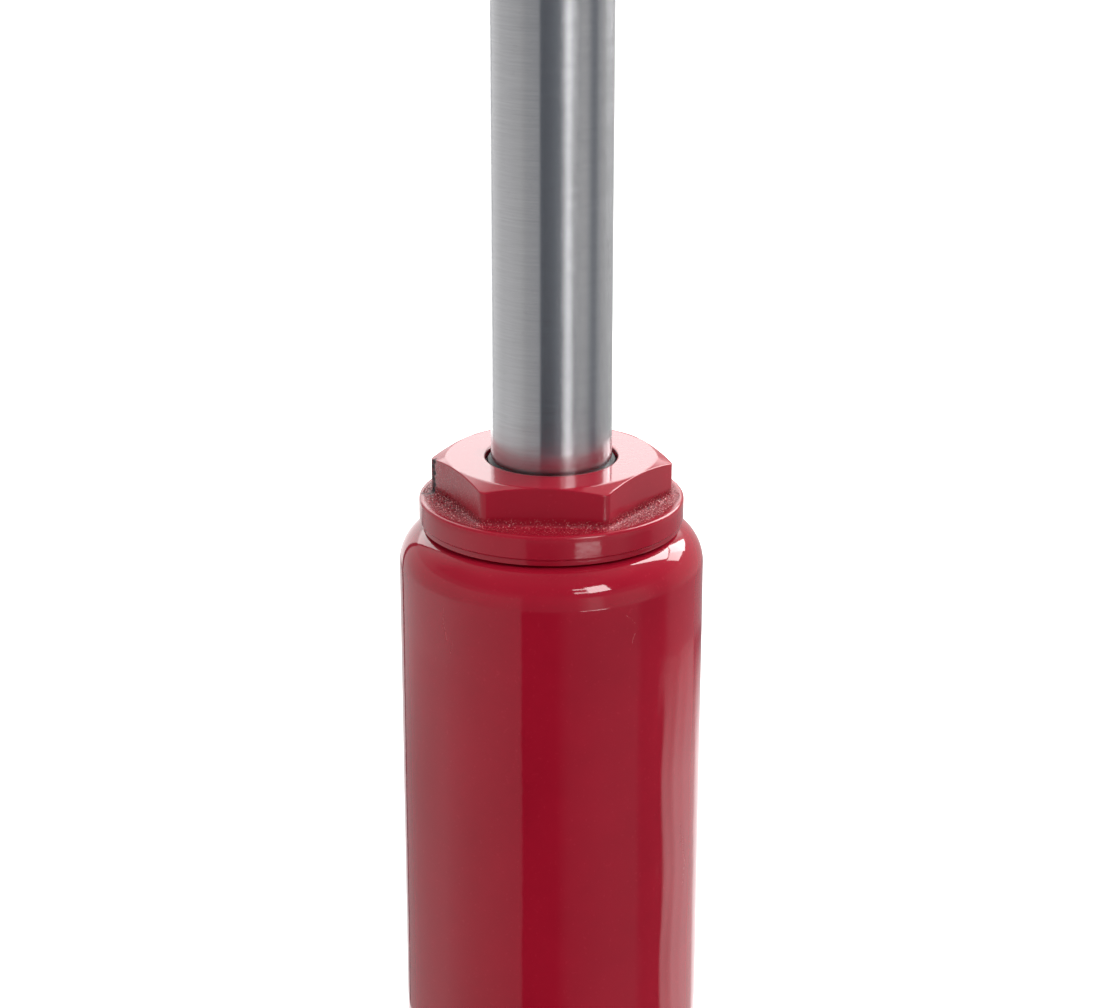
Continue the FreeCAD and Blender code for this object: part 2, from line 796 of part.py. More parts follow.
def stage_1_gland():
    # Collar on top of the first stage, screwed into it, which guides and seals the second
    seal_foot = "(collarFoot + collarSealRise)"
    blank = turned("gland_blank", [
        ("secondRadius + fit", "collarFoot"),
        ("firstBore - fit", "collarFoot"),
        ("firstBore - fit", "firstTop"),
        ("collarRadius", "firstTop"),
        ("collarRadius", "collarTop - collarEdge"),
        ("collarRadius - collarEdge", "collarTop"),
        ("secondRadius + sealDepth", "collarTop"),
        ("secondRadius + sealDepth", "collarTop - collarWiperDepth"),
        ("secondRadius + fit", "collarTop - collarWiperDepth"),
        ("secondRadius + fit", f"{seal_foot} + sealWidth"),
        ("secondRadius + collarSealDepth", f"{seal_foot} + sealWidth"),
        ("secondRadius + collarSealDepth", seal_foot),
        ("secondRadius + fit", seal_foot),
    ])
    slots = []
    for number in range(4):
        slot = document.addObject("Part::Box", f"spanner_slot_{number}")
        bind(slot, "Length", "collarSlotDepth + 5")
        bind(slot, "Width", "collarSlotWidth")
        bind(slot, "Height", "collarHeight")
        angle = 45 + 90 * number
        slot.Placement = Placement(Vector(0, 0, 0), Rotation(Vector(0, 0, 1), angle))
        reach = "(collarRadius - collarSlotDepth)"
        bind(slot, "Placement.Base.x", f"{reach} * cos({angle} deg) + collarSlotWidth / 2 * sin({angle} deg)")
        bind(slot, "Placement.Base.y", f"{reach} * sin({angle} deg) - collarSlotWidth / 2 * cos({angle} deg)")
        bind(slot, "Placement.Base.z", "firstTop + collarHeight * 0.35")
        slots.append(slot)
    keep(cut("stage_1_gland_nut", blank, slots), "stage_1_gland_nut")
    keep(ring("stage_2_rod_seal", "secondRadius + sealFit", "secondRadius + collarSealDepth",
              seal_foot, f"{seal_foot} + sealWidth"), "stage_2_rod_seal")
    wiper("stage_2_wiper", "secondRadius", "secondRadius + sealDepth", "secondRadius + collarSealDepth",
          "collarTop - collarWiperDepth", "collarTop", "collarWiperLip")


def second_stage():
    rod = turned("stage_2_rod", [
        ("0", "secondFoot"),
        ("secondSpigot - tubeEdge", "secondFoot"),
        ("secondSpigot", "secondFoot + tubeEdge"),
        ("secondSpigot", "secondPistonTop"),
        ("secondRadius", "secondPistonTop"),
        ("secondRadius", "secondTop - rodEdge"),
        ("secondRadius - rodEdge", "secondTop"),
        ("saddleSpigot + fit", "secondTop"),
        ("saddleSpigot + fit", "secondTop - saddleSpigotLength - saddleBoreSpare"),
        ("0", "secondTop - saddleSpigotLength - saddleBoreSpare - saddleBorePoint"),
    ])
    keep(rod, "stage_2_rod")
    piston("stage_2", "firstBore", "secondPistonFoot", "secondPistonLength", [
        ("secondSpigot", "secondPistonTop"),
        ("secondSpigot", "secondPistonFoot"),
    ])
    corner = f"(pistonNutFlats / 2 / cos({HEX_HALF} deg) - pistonEdge / 2)"
    nut = turned("stage_2_piston_nut", [
        ("secondSpigot", "secondFoot"),
        (f"{corner} - pistonEdge", "secondFoot"),
        (corner, "secondFoot + pistonEdge"),
        (corner, "secondPistonFoot"),
        ("secondSpigot", "secondPistonFoot"),
    ])
    cut_hexagon(nut, "pistonNutFlats", corner, "secondPistonFoot", "pistonNutHeight")
    keep(nut, "stage_2_piston_nut")


def saddle():
    ring_foot = "(saddleFoot - saddleSpigotLength + saddleRingRise)"
    blank = turned("saddle_blank", [
        ("0", "saddleFoot - saddleSpigotLength"),
        ("saddleSpigot - rodEdge", "saddleFoot - saddleSpigotLength"),
        ("saddleSpigot", "saddleFoot - saddleSpigotLength + rodEdge"),
        ("saddleSpigot", ring_foot),
        ("saddleSpigot - ringSection", ring_foot),
        ("saddleSpigot - ringSection", f"{ring_foot} + ringSection"),
        ("saddleSpigot", f"{ring_foot} + ringSection"),
        ("saddleSpigot", "saddleFoot"),
        ("secondRadius + saddleNeck", "saddleFoot"),
        ("saddleRadius", "saddleFoot + saddleSkirt", "saddleFlare", -1),
        ("saddleRadius", "saddleTop - saddleEdge"),
        ("saddleRadius - saddleEdge", "saddleTop"),
        ("0", "saddleTop"),
    ])
    grooves = []
    for along in "xy":
        for number in (-2.5, -1.5, -0.5, 0.5, 1.5, 2.5):
            grooves.append(grip_groove(along, number))
    keep(cut("saddle", blank, grooves), "saddle")
    keep(ring("saddle_ring", "saddleSpigot - ringSection", "saddleSpigot + fit",
              ring_foot, f"{ring_foot} + ringSection"), "saddle_ring")


def grip_groove(along, number):
    # A square bar on its edge, laid across the top of the saddle, leaves a V groove
    bar = document.addObject("Part::Box", f"grip_{along}")
    bind(bar, "Length", "saddleRadius * 2 + gripOverrun * 2")
    bind(bar, "Width", "gripDepth * sqrt(2)")
    bind(bar, "Height", "gripDepth * sqrt(2)")
    tilt = Rotation(Vector(1, 0, 0), 45)
    turn = Rotation(Vector(0, 0, 1), 0 if along == "x" else 90)
    bar.Placement = Placement(Vector(0, 0, 0), turn * tilt)
    start, offset = "(-saddleRadius - gripOverrun)", f"(gripPitch * {number})"
    bind(bar, "Placement.Base.x", start if along == "x" else offset)
    bind(bar, "Placement.Base.y", offset if along == "x" else start)
    bind(bar, "Placement.Base.z", "saddleTop - gripDepth")
    return bar


def pump():
    barrel = turned("pump_barrel", [
        ("plungerRadius + fit", "barrelFoot"),
        ("pumpWellRadius", "barrelFoot"),
        ("pumpWellRadius", "bossTop"),
        ("barrelRadius", "bossTop"),
        ("barrelRadius", "threadFoot - barrelEdge"),
        ("barrelRadius - barrelEdge", "threadFoot"),
        ("barrelThread", "threadFoot"),
        ("barrelThread", "barrelTop - barrelEdge"),
        ("barrelThread - barrelEdge", "barrelTop"),
        ("packingRadius", "barrelTop"),
        ("packingRadius", "barrelTop - packingDepth"),
        ("plungerRadius + fit", "barrelTop - packingDepth"),
    ])
    gland_corner = f"(glandFlats / 2 / cos({HEX_HALF} deg) - nutHoleEdge)"
    gland = turned("pump_gland_nut", [
        ("barrelThread + fit", "threadFoot"),
        (gland_corner, "threadFoot"),
        (gland_corner, "glandTop - glandChamfer"),
        ("glandFlats / 2", "glandTop"),
        ("plungerRadius + nutHoleEdge", "glandTop"),
        ("plungerRadius + fit", "glandTop - nutHoleEdge"),
        ("plungerRadius + fit", "barrelTop"),
        ("barrelThread + fit", "barrelTop"),
    ])
    cut_hexagon(gland, "glandFlats", gland_corner, "glandTop", "glandTop - threadFoot")
    washer = ring("pump_washer", "plungerRadius + 1", "pumpWellRadius", "wellFloor", "barrelFoot")
    packing = ring("pump_packing", "plungerRadius + sealFit", "packingRadius",
                   "barrelTop - packingDepth", "barrelTop")
    for body in (barrel, gland, washer, packing):
        place(body, 0, "pumpOffset")
        keep(body, body.Label)


def tongue(name, foot, radius, pin_height, hole):
    # The flat top of a round shaft, rounded off over a cross hole
    waist = cylinder(f"{name}_shaft", radius, f"{pin_height} - tongueRoot - ({foot})", z=foot)
    reach = f"({radius} - tongueInset)"
    plate = block(f"{name}_plate",
                  ("-tongueThickness / 2", f"-{reach}", f"{pin_height} - tongueRoot - rootOverlap"),
                  ("tongueThickness / 2", reach, pin_height))
    eye = cylinder(f"{name}_eye", reach, "tongueThickness", "-tongueThickness / 2", 0, pin_height, "x")
    solid = fused(f"{name}_solid", [waist, plate, eye])
    bore = cylinder(f"{name}_bore", hole, "tongueThickness + 2",
                    "-tongueThickness / 2 - 1", 0, pin_height, "x")
    return cut(name, solid, [bore])


def plunger():
    foot = "barrelFoot + plungerFootGap"
    body = tongue("pump_plunger", foot, "plungerRadius", "pinLow", "plungerPinRadius")
    place(body, 0, "pumpOffset")
    keep(body, "pump_plunger")


def fulcrum_post():
    shaft = tongue("post_shaft", "bossTop - 1", "postRadius", "fulcrumHeight", "fulcrumPinRadius")
    spigot = cylinder("post_spigot", "postSpigot", "bossHeight", z="footThickness")
    foot_trim = cylinder("post_foot_trim", "postRadius + 1", "1", z="bossTop - 1")
    spigot_keep = cut("post_above_boss", shaft, [foot_trim])
    body = fused("fulcrum_post", [spigot_keep, spigot])
    place(body, 0, "postOffset")
    keep(body, "fulcrum_post")


def cross_pin(label, radius, y, z):
    # A headed pin along X, with a groove for its spring clip at the other end
    groove = "(forkOuter + pinPlay)"
    body = turned(label, [
        ("0", f"-{groove} - pinHeadHeight"),
        ("pinHeadRadius - pinEdge", f"-{groove} - pinHeadHeight"),
        ("pinHeadRadius", f"-{groove} - pinHeadHeight + pinEdge"),
        ("pinHeadRadius", f"-{groove}"),
        (radius, f"-{groove}"),
        (radius, groove),
        (f"{radius} - clipBite", groove),
        (f"{radius} - clipBite", f"{groove} + clipThickness"),
        (radius, f"{groove} + clipThickness"),
        (radius, f"{groove} + clipThickness + pinTail - pinEdge"),
        (f"{radius} - pinEdge", f"{groove} + clipThickness + pinTail"),
        ("0", f"{groove} + clipThickness + pinTail"),
    ])
    place(body, 0, y, z, Vector(0, 1, 0), 90)
    keep(body, label)


def spring_clip(label, radius, y, z):
    # An open ring that snaps into the groove from above
    washer = ring(f"{label}_ring", f"{radius} - clipBite", f"{radius} + clipReach", "0", "clipThickness")
    mouth = block(f"{label}_mouth", (f"-{radius} + clipBite + clipMouth", "0", "-1"),
                  (f"{radius} - clipBite - clipMouth", f"{radius} + clipReach + 1", "clipThickness + 1"))
    body = cut(label, washer, [mouth])
    item = keep(body, label)
    item.Placement = Placement(Vector(0, 0, 0), Rotation(Vector(0, 1, 0), 90) * Rotation(Vector(0, 0, 1), 90))
    bind(item, "Placement.Base.x", "forkOuter + pinPlay")
    bind(item, "Placement.Base.y", y)
    bind(item, "Placement.Base.z", z)


def lever():
    # The pump lever, drawn level with its pivot at the origin, then turned to its rest
    arm = block("lever_arm", ("-forkOuter", "0", "-armBelow"), ("forkOuter", "armEnd", "armAbove"))
    eye = cylinder("lever_eye", "armEye", "forkOuter * 2", "-forkOuter", 0, 0, "x")
    socket = document.addObject("Part::Cylinder", "lever_socket")
    bore = document.addObject("Part::Cylinder", "lever_socket_bore")
    bind(socket, "Radius", "socketRadius")
    bind(socket, "Height", "socketLength")
    bind(bore, "Radius", "socketBore")
    bind(bore, "Height", "socketDepth + 1")
    for item, start in ((socket, "0"), (bore, "(socketLength - socketDepth)")):
        item.Placement = Placement(Vector(0, 0, 0), Rotation(Vector(1, 0, 0), value("socketTilt") - 90))
        bind(item, "Placement.Base.y", f"socketStart + {start} * cos(socketTilt * 1 deg)")
        bind(item, "Placement.Base.z", f"{start} * sin(socketTilt * 1 deg)")
    solid = fused("lever_solid", [arm, eye, socket])
    gap = block("lever_gap", ("-forkInner", "-armEye - 1", "-armBelow - armEye"),
                ("forkInner", "forkReach", "armAbove + armEye"))
    width, side = "forkOuter * 2 + 2", "-forkOuter - 1"
    pivot = cylinder("lever_pivot_hole", "fulcrumPinRadius + fit", width, side, 0, 0, "x")
    slot_start = "(leverArm - slotPlay)"
    slot_end = "(leverArm + slotTravel)"
    slot = [
        cylinder("slot_near", "plungerPinRadius + slotPlay", width, side, slot_start, 0, "x"),
        cylinder("slot_far", "plungerPinRadius + slotPlay", width, side, slot_end, 0, "x"),
        block("slot_middle", (side, slot_start, "-plungerPinRadius - slotPlay"),
              ("forkOuter + 1", slot_end, "plungerPinRadius + slotPlay")),
    ]
    body = cut("pump_lever", solid, [gap, pivot, bore] + slot)
    place(body, 0, "postOffset", "fulcrumHeight", Vector(1, 0, 0), value("leverRest"))
    keep(body, "pump_lever")


def ball(label, radius, x, y, z):
    item = document.addObject("Part::Sphere", label)
    bind(item, "Radius", radius)
    place(item, x, y, z)
    keep(item, label)


def seated(radius, seat):
    # Where the centre of a ball lies that rests on the edge of its seat
    return f"({seat} + {radius} * seatRise)"


def check_balls():
    ball("suction_ball", "suctionBall", "0", "pumpOffset", seated("suctionBall", "suctionSeat"))
    ball("delivery_ball", "deliveryBall", "0", "0", seated("deliveryBall", "deliverySeat"))
    ball("release_ball", "valveBall", seated("valveBall", "valveSeat"), "0", "pressureLine")
    ball("relief_ball", "valveBall", "-" + seated("valveBall", "valveSeat"), "0", "pressureLine")


def valve_retainers():
    # Two drilled discs that keep the check balls in their pockets
    discs = []
    seats = (("suction_disc", "pumpOffset", "suctionRetainer"), ("delivery_disc", "0", "deliveryRetainer"))
    for name, y, z in seats:
        disc = cylinder(name, "retainerRadius", "retainerThickness", 0, y, z)
        holes = []
        for number in range(3):
            angle = f"{120 * number + 90} deg"
            across, along = f"retainerRing * cos({angle})", f"{y} + retainerRing * sin({angle})"
            holes.append(cylinder(f"{name}_hole_{number}", "retainerHole", "retainerThickness + 2",
                                  across, along, f"{z} - 1"))
        discs.append(cut(f"{name}_drilled", disc, holes))
    compound = document.addObject("Part::Compound", "valve_retainers")
    compound.Links = discs
    keep(compound, "valve_retainers")


def passage_plug(name, x, y, z, turn):
    body = turned(name, [
        ("0", "0"),
        ("plugRadius", "0"),
        ("plugRadius", "plugLength - plugEdge"),
        ("plugRadius - plugEdge", "plugLength"),
        ("0", "plugLength"),
    ])
    cut_socket(body, "plugSocketFlats", "plugLength", "plugSocketDepth")
    place(body, x, y, z, *turn)
    return body


def passage_plugs():
    along_x = (Vector(0, 1, 0), 90)
    along_y = (Vector(1, 0, 0), -90)
    plugs = [
        passage_plug("cross_plug", "footSide - plugLength", "pumpOffset", "suctionLine", along_x),
        passage_plug("long_plug", "suctionRiserX", "footBack - plugLength", "suctionLine", along_y),
        passage_plug("pressure_plug", "0", "footBack - plugLength", "pressureLine", along_y),
    ]
    compound = document.addObject("Part::Compound", "passage_plugs")
    compound.Links = plugs
    keep(compound, "passage_plugs")


def release_screw():
    tip = f"{seated('valveBall', 'valveSeat')} + valveBall"
    ring_foot = "(footSide - stemRingDepth)"
    knob_foot = "(footSide + knobGap)"
    blank = turned("release_blank", [
        ("0", tip),
        ("releaseTip", tip),
        ("releaseTip", "valvePocketEnd + 1"),
        ("releaseThread", "valvePocketEnd + 1"),
        ("releaseThread", ring_foot),
        ("releaseThread - ringSection / 2", ring_foot),
        ("releaseThread - ringSection / 2", f"{ring_foot} + ringSection"),
        ("releaseThread", f"{ring_foot} + ringSection"),
        ("releaseThread", knob_foot),
        ("knobRadius - knobEdge", knob_foot),
        ("knobRadius", f"{knob_foot} + knobEdge"),
        ("knobRadius", f"{knob_foot} + knobLength - knobEdge"),
        ("knobRadius - knobEdge", f"{knob_foot} + knobLength"),
        ("0", f"{knob_foot} + knobLength"),
    ])
    notch = block("release_notch",
                  ("-knobNotch / 2", "-knobRadius - 1", f"{knob_foot} + knobLength - knobNotchDepth"),
                  ("knobNotch / 2", "knobRadius + 1", f"{knob_foot} + knobLength + 1"))
    screw = cut("release_screw", blank, [notch])
    seal = ring("release_o_ring", "releaseThread - ringSection / 2", "releaseThread + fit",
                ring_foot, f"{ring_foot} + ringSection")
    for item in (screw, seal):
        place(item, 0, 0, "pressureLine", Vector(0, 1, 0), 90)
        keep(item, item.Label)


def relief_valve():
    screw = turned("relief_screw", [
        ("0", "valvePocketEnd"),
        ("reliefThread", "valvePocketEnd"),
        ("reliefThread", "valvePocketEnd + reliefLength - plugEdge"),
        ("reliefThread - plugEdge", "valvePocketEnd + reliefLength"),
        ("0", "valvePocketEnd + reliefLength"),
    ])
    cut_socket(screw, "reliefSocketFlats", "valvePocketEnd + reliefLength", "reliefThread")
    place(screw, 0, 0, "pressureLine", Vector(0, 1, 0), -90)
    keep(screw, "relief_screw")
    spring = new_body("relief_spring")
    wire = new_sketch(spring, "relief_spring_wire", "XZ_Plane")
    wire.addGeometry(Part.Circle(Vector(value("springRadius"), 0, 0), Vector(0, 0, 1), value("springWire")))
    for kind, first, text in (("Radius", 0, "springWire"), ("DistanceX", -1, "springRadius")):
        if kind == "Radius":
            size = wire.addConstraint(Sketcher.Constraint(kind, first, value(text)))
        else:
            size = wire.addConstraint(Sketcher.Constraint(kind, first, 1, 0, 3, value(text)))
        wire.setExpression(f"Constraints[{size}]", formula(text))
    coil = spring.newObject("PartDesign::AdditiveHelix", "relief_spring_coil")
    coil.Profile = wire
    coil.ReferenceAxis = (wire, ["V_Axis"])
    coil.Mode = "height-turns-angle"
    start = f"({seated('valveBall', 'valveSeat')} + valveBall * seatRise)"
    bind(coil, "Height", f"valvePocketEnd - {start} - springWire * 2 - springPlay * 2")
    bind(coil, "Turns", "springTurns")
    document.recompute()
    place(spring, f"-{start} - springWire - springPlay", 0, "pressureLine", Vector(0, 1, 0), -90)
    keep(spring, "relief_spring")


def check_and_write():
    document.recompute()
    for item in document.Objects:
        if "Invalid" in item.State or "Error" in item.State:
            raise RuntimeError(f"{item.Label} is {item.State}")
    for item in pieces:
        shape = item.Shape
        if shape.isNull() or not shape.isValid() or not shape.Solids:
            raise RuntimeError(f"{item.Label} has no sound shape")
    os.makedirs("parts", exist_ok=True)
    for item in pieces:
        item.Shape.exportStep(os.path.join("parts", f"{item.Label}.step"))
        box = item.Shape.BoundBox
        print(f"{item.Label}: {len(item.Shape.Solids)} solids, {item.Shape.Volume:.0f} mm3, "
              f"z {box.ZMin:.2f} to {box.ZMax:.2f}")


fill_sheet()
base_block()
pressure_tube()
reservoir_jacket()
filler_plug()
tank_nut()
wiper("rod_wiper", "firstRadius", "wiperGroove", "wiperMouth", "tubeTop", "nutTop - wiperLip", "wiperLip")
guide_bush()
first_stage()
stage_1_gland()
second_stage()
saddle()
pump()
plunger()
fulcrum_post()
cross_pin("fulcrum_pin", "fulcrumPinRadius", "postOffset", "fulcrumHeight")
cross_pin("plunger_pin", "plungerPinRadius", "pumpOffset", "pinLow")
spring_clip("fulcrum_clip", "fulcrumPinRadius", "postOffset", "fulcrumHeight")
spring_clip("plunger_clip", "plungerPinRadius", "pumpOffset", "pinLow")
lever()
check_balls()
valve_retainers()
passage_plugs()
release_screw()
relief_valve()
check_and_write()
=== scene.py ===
import json
import math

import bpy
import bmesh
import numpy as np
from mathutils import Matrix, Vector


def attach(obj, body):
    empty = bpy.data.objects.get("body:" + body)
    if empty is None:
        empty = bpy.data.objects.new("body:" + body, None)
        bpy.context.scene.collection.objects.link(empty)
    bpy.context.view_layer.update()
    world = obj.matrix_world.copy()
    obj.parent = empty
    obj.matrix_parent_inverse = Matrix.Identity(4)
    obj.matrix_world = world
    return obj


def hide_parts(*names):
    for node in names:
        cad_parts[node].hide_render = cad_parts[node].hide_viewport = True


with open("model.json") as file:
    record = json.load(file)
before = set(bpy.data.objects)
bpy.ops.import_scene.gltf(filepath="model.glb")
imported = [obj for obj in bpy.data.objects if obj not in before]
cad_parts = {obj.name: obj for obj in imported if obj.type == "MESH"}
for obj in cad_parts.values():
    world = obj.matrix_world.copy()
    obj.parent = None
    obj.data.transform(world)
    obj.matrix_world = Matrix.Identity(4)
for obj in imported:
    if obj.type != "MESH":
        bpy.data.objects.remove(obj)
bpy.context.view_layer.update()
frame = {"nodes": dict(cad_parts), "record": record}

mm = 0.001
mergeRate = 2e6  # points of a grid that agree to half a micrometre become one
white = (1, 1, 1, 1)


def weldedMesh(name, points, quads, finish, sharpAngle=35, layers=None):
    # Equal points become one, so seams and poles close; a quad with a doubled corner becomes a triangle.
    # Each layer is a number for every point of the grid, kept as an attribute that the finish reads
    keys = np.round(points * mergeRate).astype(np.int64)
    _, first, index = np.unique(keys, axis=0, return_index=True, return_inverse=True)
    quads = index.reshape(-1)[quads]
    doubled = quads == np.roll(quads, -1, axis=1)
    full = quads[doubled.sum(1) == 0]
    oneDoubled = doubled.sum(1) == 1
    thin = quads[oneDoubled][~doubled[oneDoubled]].reshape(-1, 3)
    mesh = bpy.data.meshes.new(name)
    mesh.from_pydata(points[first].tolist(), [], full.tolist() + thin.tolist())
    mesh.materials.append(finish)
    mesh.shade_smooth()
    mesh.set_sharp_from_angle(angle=math.radians(sharpAngle))
    for label, values in (layers or {}).items():
        layer = mesh.attributes.new(label, "FLOAT", "POINT")
        layer.data.foreach_set("value", values.reshape(-1)[first].astype(np.float32))
    mesh.update()
    return placed(name, mesh)


def placed(name, data):
    item = bpy.data.objects.new(name, data)
    bpy.context.scene.collection.objects.link(item)
    return item


def gridQuads(rows, columns, closeRows=False):
    # Quads over a grid whose columns run round a full turn; rows may close as well
    lastRow = rows if closeRows else rows - 1
    row = np.arange(lastRow)[:, None]
    column = np.arange(columns)[None, :]
    nextRow, nextColumn = (row + 1) % rows, (column + 1) % columns
    corners = [row * columns + column, row * columns + nextColumn,
               nextRow * columns + nextColumn, nextRow * columns + column]
    return np.stack([np.broadcast_to(c, (lastRow, columns)) for c in corners], -1).reshape(-1, 4)


def roundedPath(corners, steps):
    # Corners (radius, height, rounding): a rounded corner becomes an arc tangent to its two sides
    path = []
    for index, corner in enumerate(corners):
        here = np.array(corner[:2], float)
        if len(corner) < 3:
            path.append(here[None])
            continue
        rounding = corner[2]
        before = np.array(corners[index - 1][:2], float) - here
        after = np.array(corners[index + 1][:2], float) - here
        before, after = before / np.linalg.norm(before), after / np.linalg.norm(after)
        half = math.acos(np.clip(before @ after, -1, 1)) / 2
        middle = (before + after) / np.linalg.norm(before + after)
        centre = here + middle * rounding / math.sin(half)
        start = here + before * rounding / math.tan(half) - centre
        end = here + after * rounding / math.tan(half) - centre
        share = np.linspace(0, 1, steps)[:, None]
        turn = math.acos(np.clip(start @ end / rounding ** 2, -1, 1))
        arc = (np.sin((1 - share) * turn) * start + np.sin(share * turn) * end) / math.sin(turn)
        path.append(centre + arc)
    return np.concatenate(path)


def denser(path, step):
    # Adds points along the path so that no two are further apart than the step
    counts = np.maximum(np.ceil(np.linalg.norm(np.diff(path, axis=0), axis=1) / step).astype(int), 1)
    parts = [path[i] + (path[i + 1] - path[i]) * (np.arange(n) / n)[:, None] for i, n in enumerate(counts)]
    return np.concatenate(parts + [path[-1:]])


def spun(radius, height, angle):
    # Point = radius * (cos angle, sin angle) round the upright axis, at that height, in millimetres
    parts = np.broadcast_arrays(radius * np.cos(angle), radius * np.sin(angle), height)
    return np.stack(parts, -1) * mm


def turnedPiece(name, path, finish, columns, reach=None):
    # Radius and height of a closed path, spun round the axis; reach(angle, radius, height) changes the radius
    angle = np.linspace(0, 2 * math.pi, columns, endpoint=False)[None, :]
    radius, height = path[:, :1] + 0 * angle, path[:, 1:] + 0 * angle
    if reach is not None:
        radius = reach(angle, radius, height)
    points = spun(radius, height, angle).reshape(-1, 3)
    return weldedMesh(name, points, gridQuads(len(path), columns, True), finish)


def waves(first, second, seed, count, low, high):
    # A smooth random surface: the sum of sine waves with random directions, frequencies and phases,
    # divided by the root of their number
    draw = np.random.default_rng(seed)
    total = 0 * (first + second)
    for _ in range(count):
        turn = draw.uniform(0, 2 * math.pi)
        size = draw.uniform(low, high)
        phase = draw.uniform(0, 2 * math.pi)
        total = total + np.sin((first * math.cos(turn) + second * math.sin(turn)) * size + phase)
    return total / math.sqrt(count)


def spreadArray(value, low, high):
    # Smooth step: 0 up to low, 1 from high on
    share = np.clip((value - low) / (high - low), 0, 1)
    return share * share * (3 - 2 * share)


def hexReach(angle, flats, turn, rounding):
    # Distance from the axis to a hexagon's outline with rounded corners, in the direction of the angle
    sixth = math.pi / 6
    fromCorner = (angle - math.radians(turn) + sixth) % (2 * sixth) - sixth
    centre = (flats / 2 - rounding) / math.cos(sixth)
    tangent = math.atan2(rounding * math.sin(sixth), centre + rounding * math.cos(sixth))
    flat = flats / 2 / np.cos(sixth - np.abs(fromCorner))
    inside = np.maximum(rounding ** 2 - (centre * np.sin(fromCorner)) ** 2, 0)
    arc = centre * np.cos(fromCorner) + np.sqrt(inside)
    return np.where(np.abs(fromCorner) < tangent, arc, flat)


def dress(piece, body, slotName, *nodes):
    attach(piece, body)
    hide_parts(*nodes)


def newGroup(name, inputs, outputs):
    tree = bpy.data.node_groups.new(name, "ShaderNodeTree")
    for label, kind, start in inputs:
        socket = tree.interface.new_socket(label, in_out="INPUT", socket_type="NodeSocket" + kind)
        socket.default_value = start
    for label in outputs:
        tree.interface.new_socket(label, in_out="OUTPUT", socket_type="NodeSocketFloat")
    return tree, tree.nodes.new("NodeGroupInput").outputs, tree.nodes.new("NodeGroupOutput").inputs


def fill(tree, node, inputs):
    # A socket is linked, a plain value is set
    for key, value in inputs.items():
        if isinstance(value, bpy.types.NodeSocket):
            tree.links.new(value, node.inputs[key])
        else:
            node.inputs[key].default_value = value


def addNode(tree, kind, inputs=None, **settings):
    node = tree.nodes.new("ShaderNode" + kind)
    for key, value in settings.items():
        setattr(node, key, value)
    fill(tree, node, inputs or {})
    return node


def maths(tree, operation, *values, clamp=False):
    return addNode(tree, "Math", dict(enumerate(values)), operation=operation, use_clamp=clamp).outputs[0]


def times(tree, first, second, clamp=False):
    return maths(tree, "MULTIPLY", first, second, clamp=clamp)


def plus(tree, first, second):
    return maths(tree, "ADD", first, second)


def minus(tree, first, second):
    return maths(tree, "SUBTRACT", first, second)


def vectorMaths(tree, operation, first, second):
    # The second value of SCALE is a number and has a socket of its own
    inputs = {0: first, 3 if operation == "SCALE" else 1: second}
    return addNode(tree, "VectorMath", inputs, operation=operation).outputs[0]


def mixColour(tree, share, first, second, blend="MIX"):
    node = addNode(tree, "Mix", {0: share, 6: first, 7: second}, data_type="RGBA", blend_type=blend)
    return node.outputs[2]


def spread(tree, value, low, high, lowOut=0.0, highOut=1.0):
    node = addNode(tree, "MapRange", {0: value, 1: low, 2: high, 3: lowOut, 4: highOut}, clamp=True)
    return node.outputs[0]


def noise(tree, place, scale, detail=2.0, roughness=0.5):
    inputs = {"Vector": place, "Scale": scale, "Detail": detail, "Roughness": roughness}
    return addNode(tree, "TexNoise", inputs).outputs[0]


def attribute(tree, label):
    return addNode(tree, "Attribute", attribute_name=label, attribute_type="GEOMETRY").outputs["Fac"]


def peelGroup():
    # Orange peel of sprayed enamel: soft dimples over slow waves
    inputs = [("Place", "Vector", (0, 0, 0)), ("Dimples", "Float", 260.0), ("Waves", "Float", 40.0),
              ("Share", "Float", 0.5)]
    tree, given, result = newGroup("orangePeel", inputs, ["Height"])
    dimples = noise(tree, given["Place"], given["Dimples"], 1.0)
    slow = noise(tree, given["Place"], given["Waves"], 1.0)
    mixed = addNode(tree, "Mix", {0: given["Share"], 2: slow, 3: dimples}, data_type="FLOAT")
    tree.links.new(mixed.outputs[0], result["Height"])
    return tree


def grimeGroup():
    # Fine dust specks and slow cloudy marks
    speckGain = 18.0
    inputs = [("Place", "Vector", (0, 0, 0)), ("Specks", "Float", 900.0), ("Clouds", "Float", 25.0),
              ("Rarity", "Float", 0.72)]
    tree, given, result = newGroup("specksAndClouds", inputs, ["Speck", "Cloud"])
    fine = noise(tree, given["Place"], given["Specks"], 0.0)
    rare = minus(tree, fine, given["Rarity"])
    tree.links.new(times(tree, rare, speckGain, clamp=True), result["Speck"])
    tree.links.new(noise(tree, given["Place"], given["Clouds"], 3.0, 0.6), result["Cloud"])
    return tree


